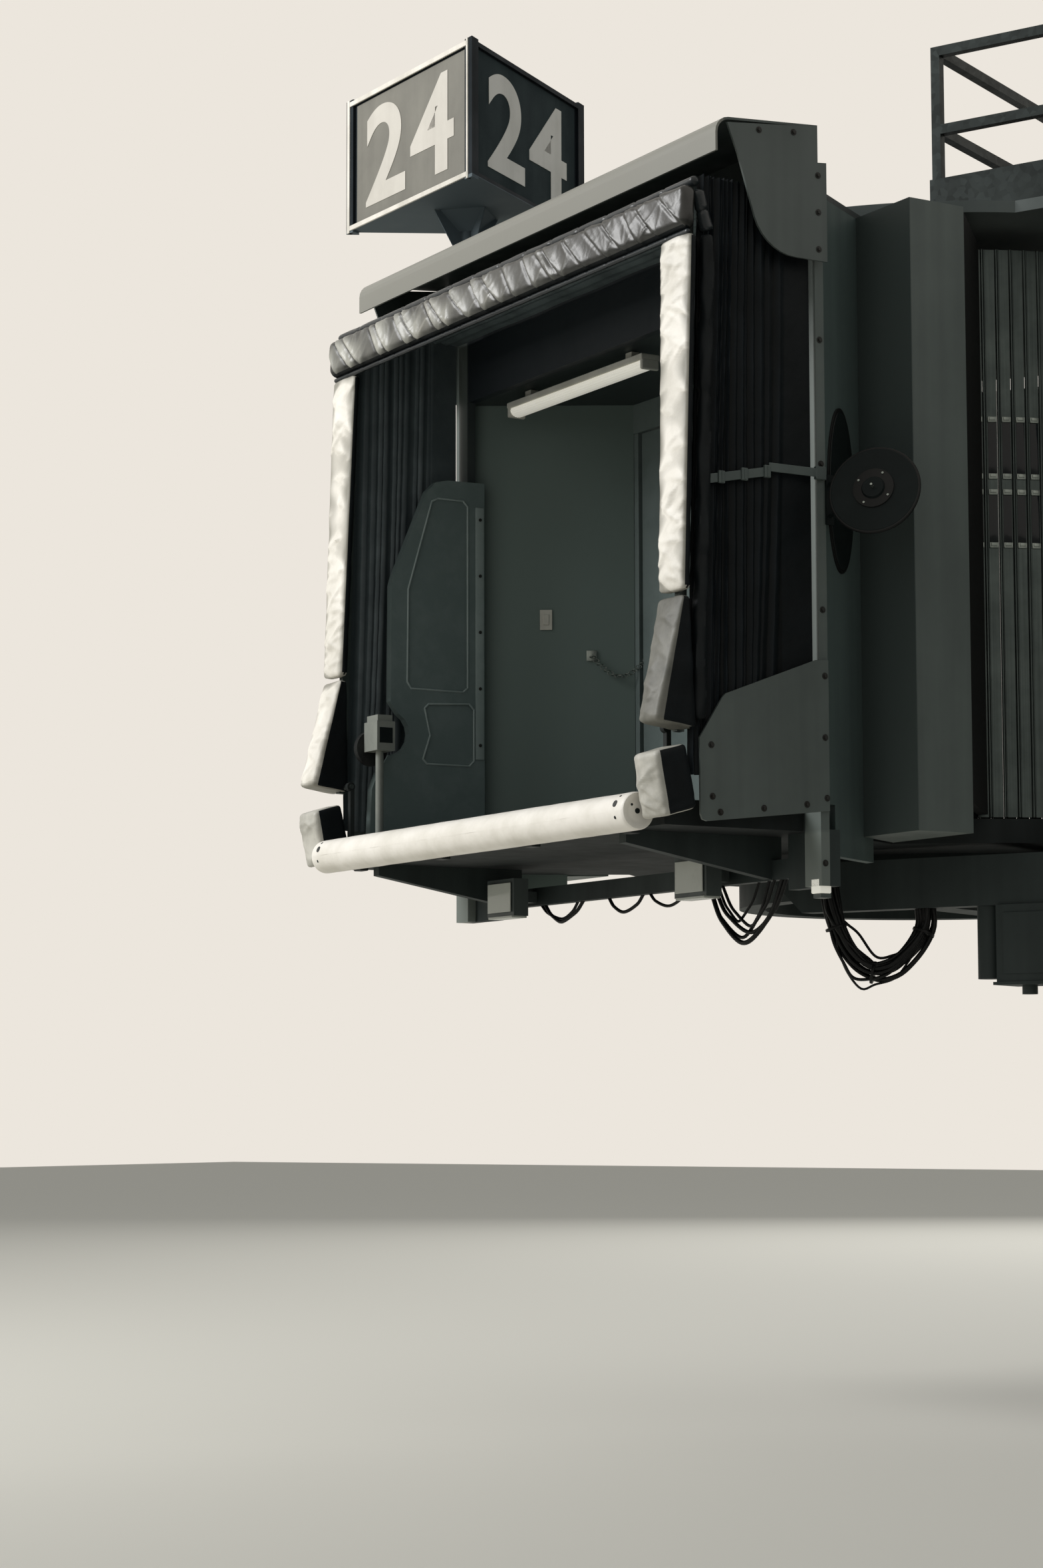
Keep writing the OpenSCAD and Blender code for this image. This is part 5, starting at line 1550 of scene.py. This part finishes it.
# %% The bundle
STRANDS, INNER_STRANDS = 13, 5
BUNDLE_R = 0.056
chance = random.Random(7)
strands = []
tangent = np.gradient(route, axis=0)
tangent /= np.linalg.norm(tangent, axis=1)[:, None]
aside = np.cross(tangent, [0.0, 1.0, 0.0])
aside /= np.linalg.norm(aside, axis=1)[:, None]
across = np.cross(tangent, aside)
share = np.linspace(0, 1, len(route))
for i in range(STRANDS):
    ring = 0.0 if i == 0 else (0.022 if i < INNER_STRANDS else 0.043)
    radius = chance.choice((0.009, 0.011, 0.013))
    phase = chance.uniform(0, 6.28) + i * 2.4
    turns = chance.uniform(-1.2, 1.2)
    wander = 0.006 * np.sin(share * chance.uniform(5, 11) + phase)
    angle = phase + turns * share * 3.0
    reach = np.clip(ring + wander, 0, BUNDLE_R - radius)
    way = route + aside * (reach * np.cos(angle))[:, None]
    way += across * (reach * np.sin(angle))[:, None]
    strands.append(cable("strand", way, radius))
for t in (0.10, 0.36, 0.62, 0.90):
    k = int(t * (len(route) - 1))
    strands.append(drum_of(route[k], tangent[k], 0.0575, 0.014, 28, 0.002))
bundle = join("cable_bundle", strands)
bpy.ops.object.shade_smooth_by_angle(angle=math.radians(40))
settle(bundle, "outer_tunnel", jacket_rubber, "cable_loop")
print("bundle:", STRANDS, "strands,", len(bundle.data.polygons), "faces")

# %% [markdown]
# ## Loose cables beside the bundle
#
# Five single cables run next to the bundle and hang a little higher or lower than it. Each
# takes the bundle's route, moved aside and stretched downwards, with small random kinks.

# %% Loose cables


def hang_cable(name, points, radius, body):
    """A single hanging cable through the points."""
    way, reach = dense_route(points, 0.015)
    piece = cable(name, way, radius)
    bpy.ops.object.shade_smooth_by_angle(angle=math.radians(40))
    settle(piece, body, jacket_rubber)
    print(name, round(reach, 3), "m")


LOOSE = [(0.84, 0.050, 0.015, 0.009), (0.93, -0.052, -0.010, 0.007), (1.10, 0.030, 0.020, 0.008),
         (1.19, -0.022, 0.012, 0.006), (0.72, -0.035, 0.025, 0.007)]
LOWEST = 8
for i, (sag, aside_by, ahead_by, radius) in enumerate(LOOSE):
    chance = random.Random(40 + i)
    points = []
    for k, spot in enumerate(LOOP):
        free = math.sin(math.pi * k / (len(LOOP) - 1))
        top = LOOP[0].z if k < LOWEST else LOOP[-1].z
        x = spot.x + ahead_by * free + chance.uniform(-0.008, 0.008) * free
        y = spot.y + aside_by * (0.4 + 0.6 * free) + chance.uniform(-0.01, 0.01) * free
        points.append(Vector((x, y, top + (spot.z - top) * (1 + (sag - 1) * free))))
    hang_cable(f"loose_cable_{i + 1}", points, radius, "outer_tunnel")

# %% [markdown]
# ## Loops under the front beam
#
# Nine thin cables hang from the lower beam of the cab's front, as drip loops do: rain runs
# down to the lowest point and falls off there, and not into the beam. Each row below gives a
# loop's two ends along the beam, its lowest height, its radius and its p. The power of the
# sine makes the sides steep and the bottom round.

# %% Drip loops
BEAM_UNDERSIDE = 2.654
HANGS = [(0.70, 1.31, 2.36, 0.012, 1.970), (0.74, 1.34, 2.41, 0.010, 1.962),
         (0.68, 1.20, 2.39, 0.009, 1.952), (0.82, 1.28, 2.44, 0.008, 1.975),
         (0.73, 1.10, 2.47, 0.007, 1.945), (-0.91, -0.51, 2.55, 0.010, 1.965),
         (-0.26, 0.06, 2.57, 0.009, 1.960), (0.14, 0.46, 2.58, 0.008, 1.955),
         (-0.95, -0.58, 2.57, 0.008, 1.945)]
for i, (first, last, low, radius, p) in enumerate(HANGS):
    points = []
    for k in range(11):
        t = k / 10
        drop = (math.sin(math.pi * t)) ** 0.62
        q = first + (last - first) * (t + 0.06 * math.sin(2 * math.pi * t))
        z = BEAM_UNDERSIDE + (low - BEAM_UNDERSIDE) * drop
        points.append(cab(p + 0.01 * math.sin(5 * t + i), q, z))
    hang_cable(f"drip_loop_{i + 1}", points, radius, "cab")

# %% [markdown]
# ## The studio's floor
#
# The bridge stands in a plain pale studio. The floor is a large plane of matt paint, a little
# darker than the sky. It is part of the stage and not of the bridge.

# %% Floor
bpy.ops.object.select_all(action="DESELECT")
bpy.ops.mesh.primitive_plane_add(size=1.0, location=(10, 4, 0))
floor = bpy.context.object
floor.name = "studio_floor"
floor.scale = (120, 120, 1)
bpy.ops.object.transform_apply(location=True, rotation=False, scale=True)
floor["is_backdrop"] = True
FLOOR_SHADE = "#cfccc2"
floor_paint = new_material("studio_floor_paint")[0]
set_shader(floor_paint, "Base Color", hue(FLOOR_SHADE))
set_shader(floor_paint, "Roughness", 0.9)
floor.data.materials.append(floor_paint)
print("floor:", [round(v) for v in floor.dimensions[:2]], "m")

# %% [markdown]
# ## The sky
#
# The world gives an even, cool light. The camera, gloss and glass see it as a pale, warm sky
# instead, as bright as in the picture: a mix shader picks one or the other by the kind of ray.

# %% Sky
SKY_SHADE = "#ece6dd"
world = bpy.data.worlds.new("pale_sky")
bpy.context.scene.world = world
world.use_nodes = True
tree = world.node_tree
background = tree.nodes["Background"]
background.inputs["Color"].default_value = hue("#e9edee")
background.inputs["Strength"].default_value = 0.42
seen = add(tree, "ShaderNodeBackground", {"Color": hue(SKY_SHADE), "Strength": 1.0})
rays = add(tree, "ShaderNodeLightPath")
glossy = add(tree, "ShaderNodeMath", {0: rays.outputs["Is Camera Ray"], 1: rays.outputs["Is Glossy Ray"]},
             operation="MAXIMUM")
any_view = add(tree, "ShaderNodeMath", {0: glossy.outputs["Value"], 1: rays.outputs["Is Transmission Ray"]},
               operation="MAXIMUM")
mixed = add(tree, "ShaderNodeMixShader", {0: any_view.outputs["Value"], 1: background.outputs["Background"],
                                          2: seen.outputs["Background"]})
tree.links.new(mixed.outputs["Shader"], tree.nodes["World Output"].inputs["Surface"])

# %% [markdown]
# ## The lamps
#
# One large soft lamp stands high on the aircraft's side, so the pads and the bumper catch it
# and the long side of the cab is in shade, as it was in the open air. A larger one, farther
# off, lights the side of the tunnel more weakly.

# %% Lamps


def soft_lamp(name, place, target, size, power):
    """A square area lamp that looks at a point."""
    data = bpy.data.lights.new(name, "AREA")
    data.shape = "SQUARE"
    data.size = size
    data.energy = power
    lamp = bpy.data.objects.new(name, data)
    bpy.context.scene.collection.objects.link(lamp)
    lamp.location = place
    lamp.rotation_mode = "QUATERNION"
    lamp.rotation_quaternion = (Vector(target) - Vector(place)).to_track_quat("-Z", "Y")
    print(name, power, "W")


soft_lamp("key_lamp", cab(15, -6, 12), cab(2, 0, 4), 7.0, 2200)
soft_lamp("tunnel_lamp", (26, -24, 14), (9, 0, 4), 14.0, 2600)

# %% [markdown]
# ## The picture's own settings
#
# The shades above were matched to the picture's own hex codes, so the plain view transform
# shows them without a film curve of its own.

# %% View transform
bpy.context.scene.view_settings.view_transform = "Standard"
print("view transform:", bpy.context.scene.view_settings.view_transform)

# %% [markdown]
# ## Last, the size of the dressed bridge
#
# The box of the dressed bridge is printed.

# %% Finish
low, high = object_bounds()
print("dressed box:", [round(v, 3) for v in (*low, *high)])
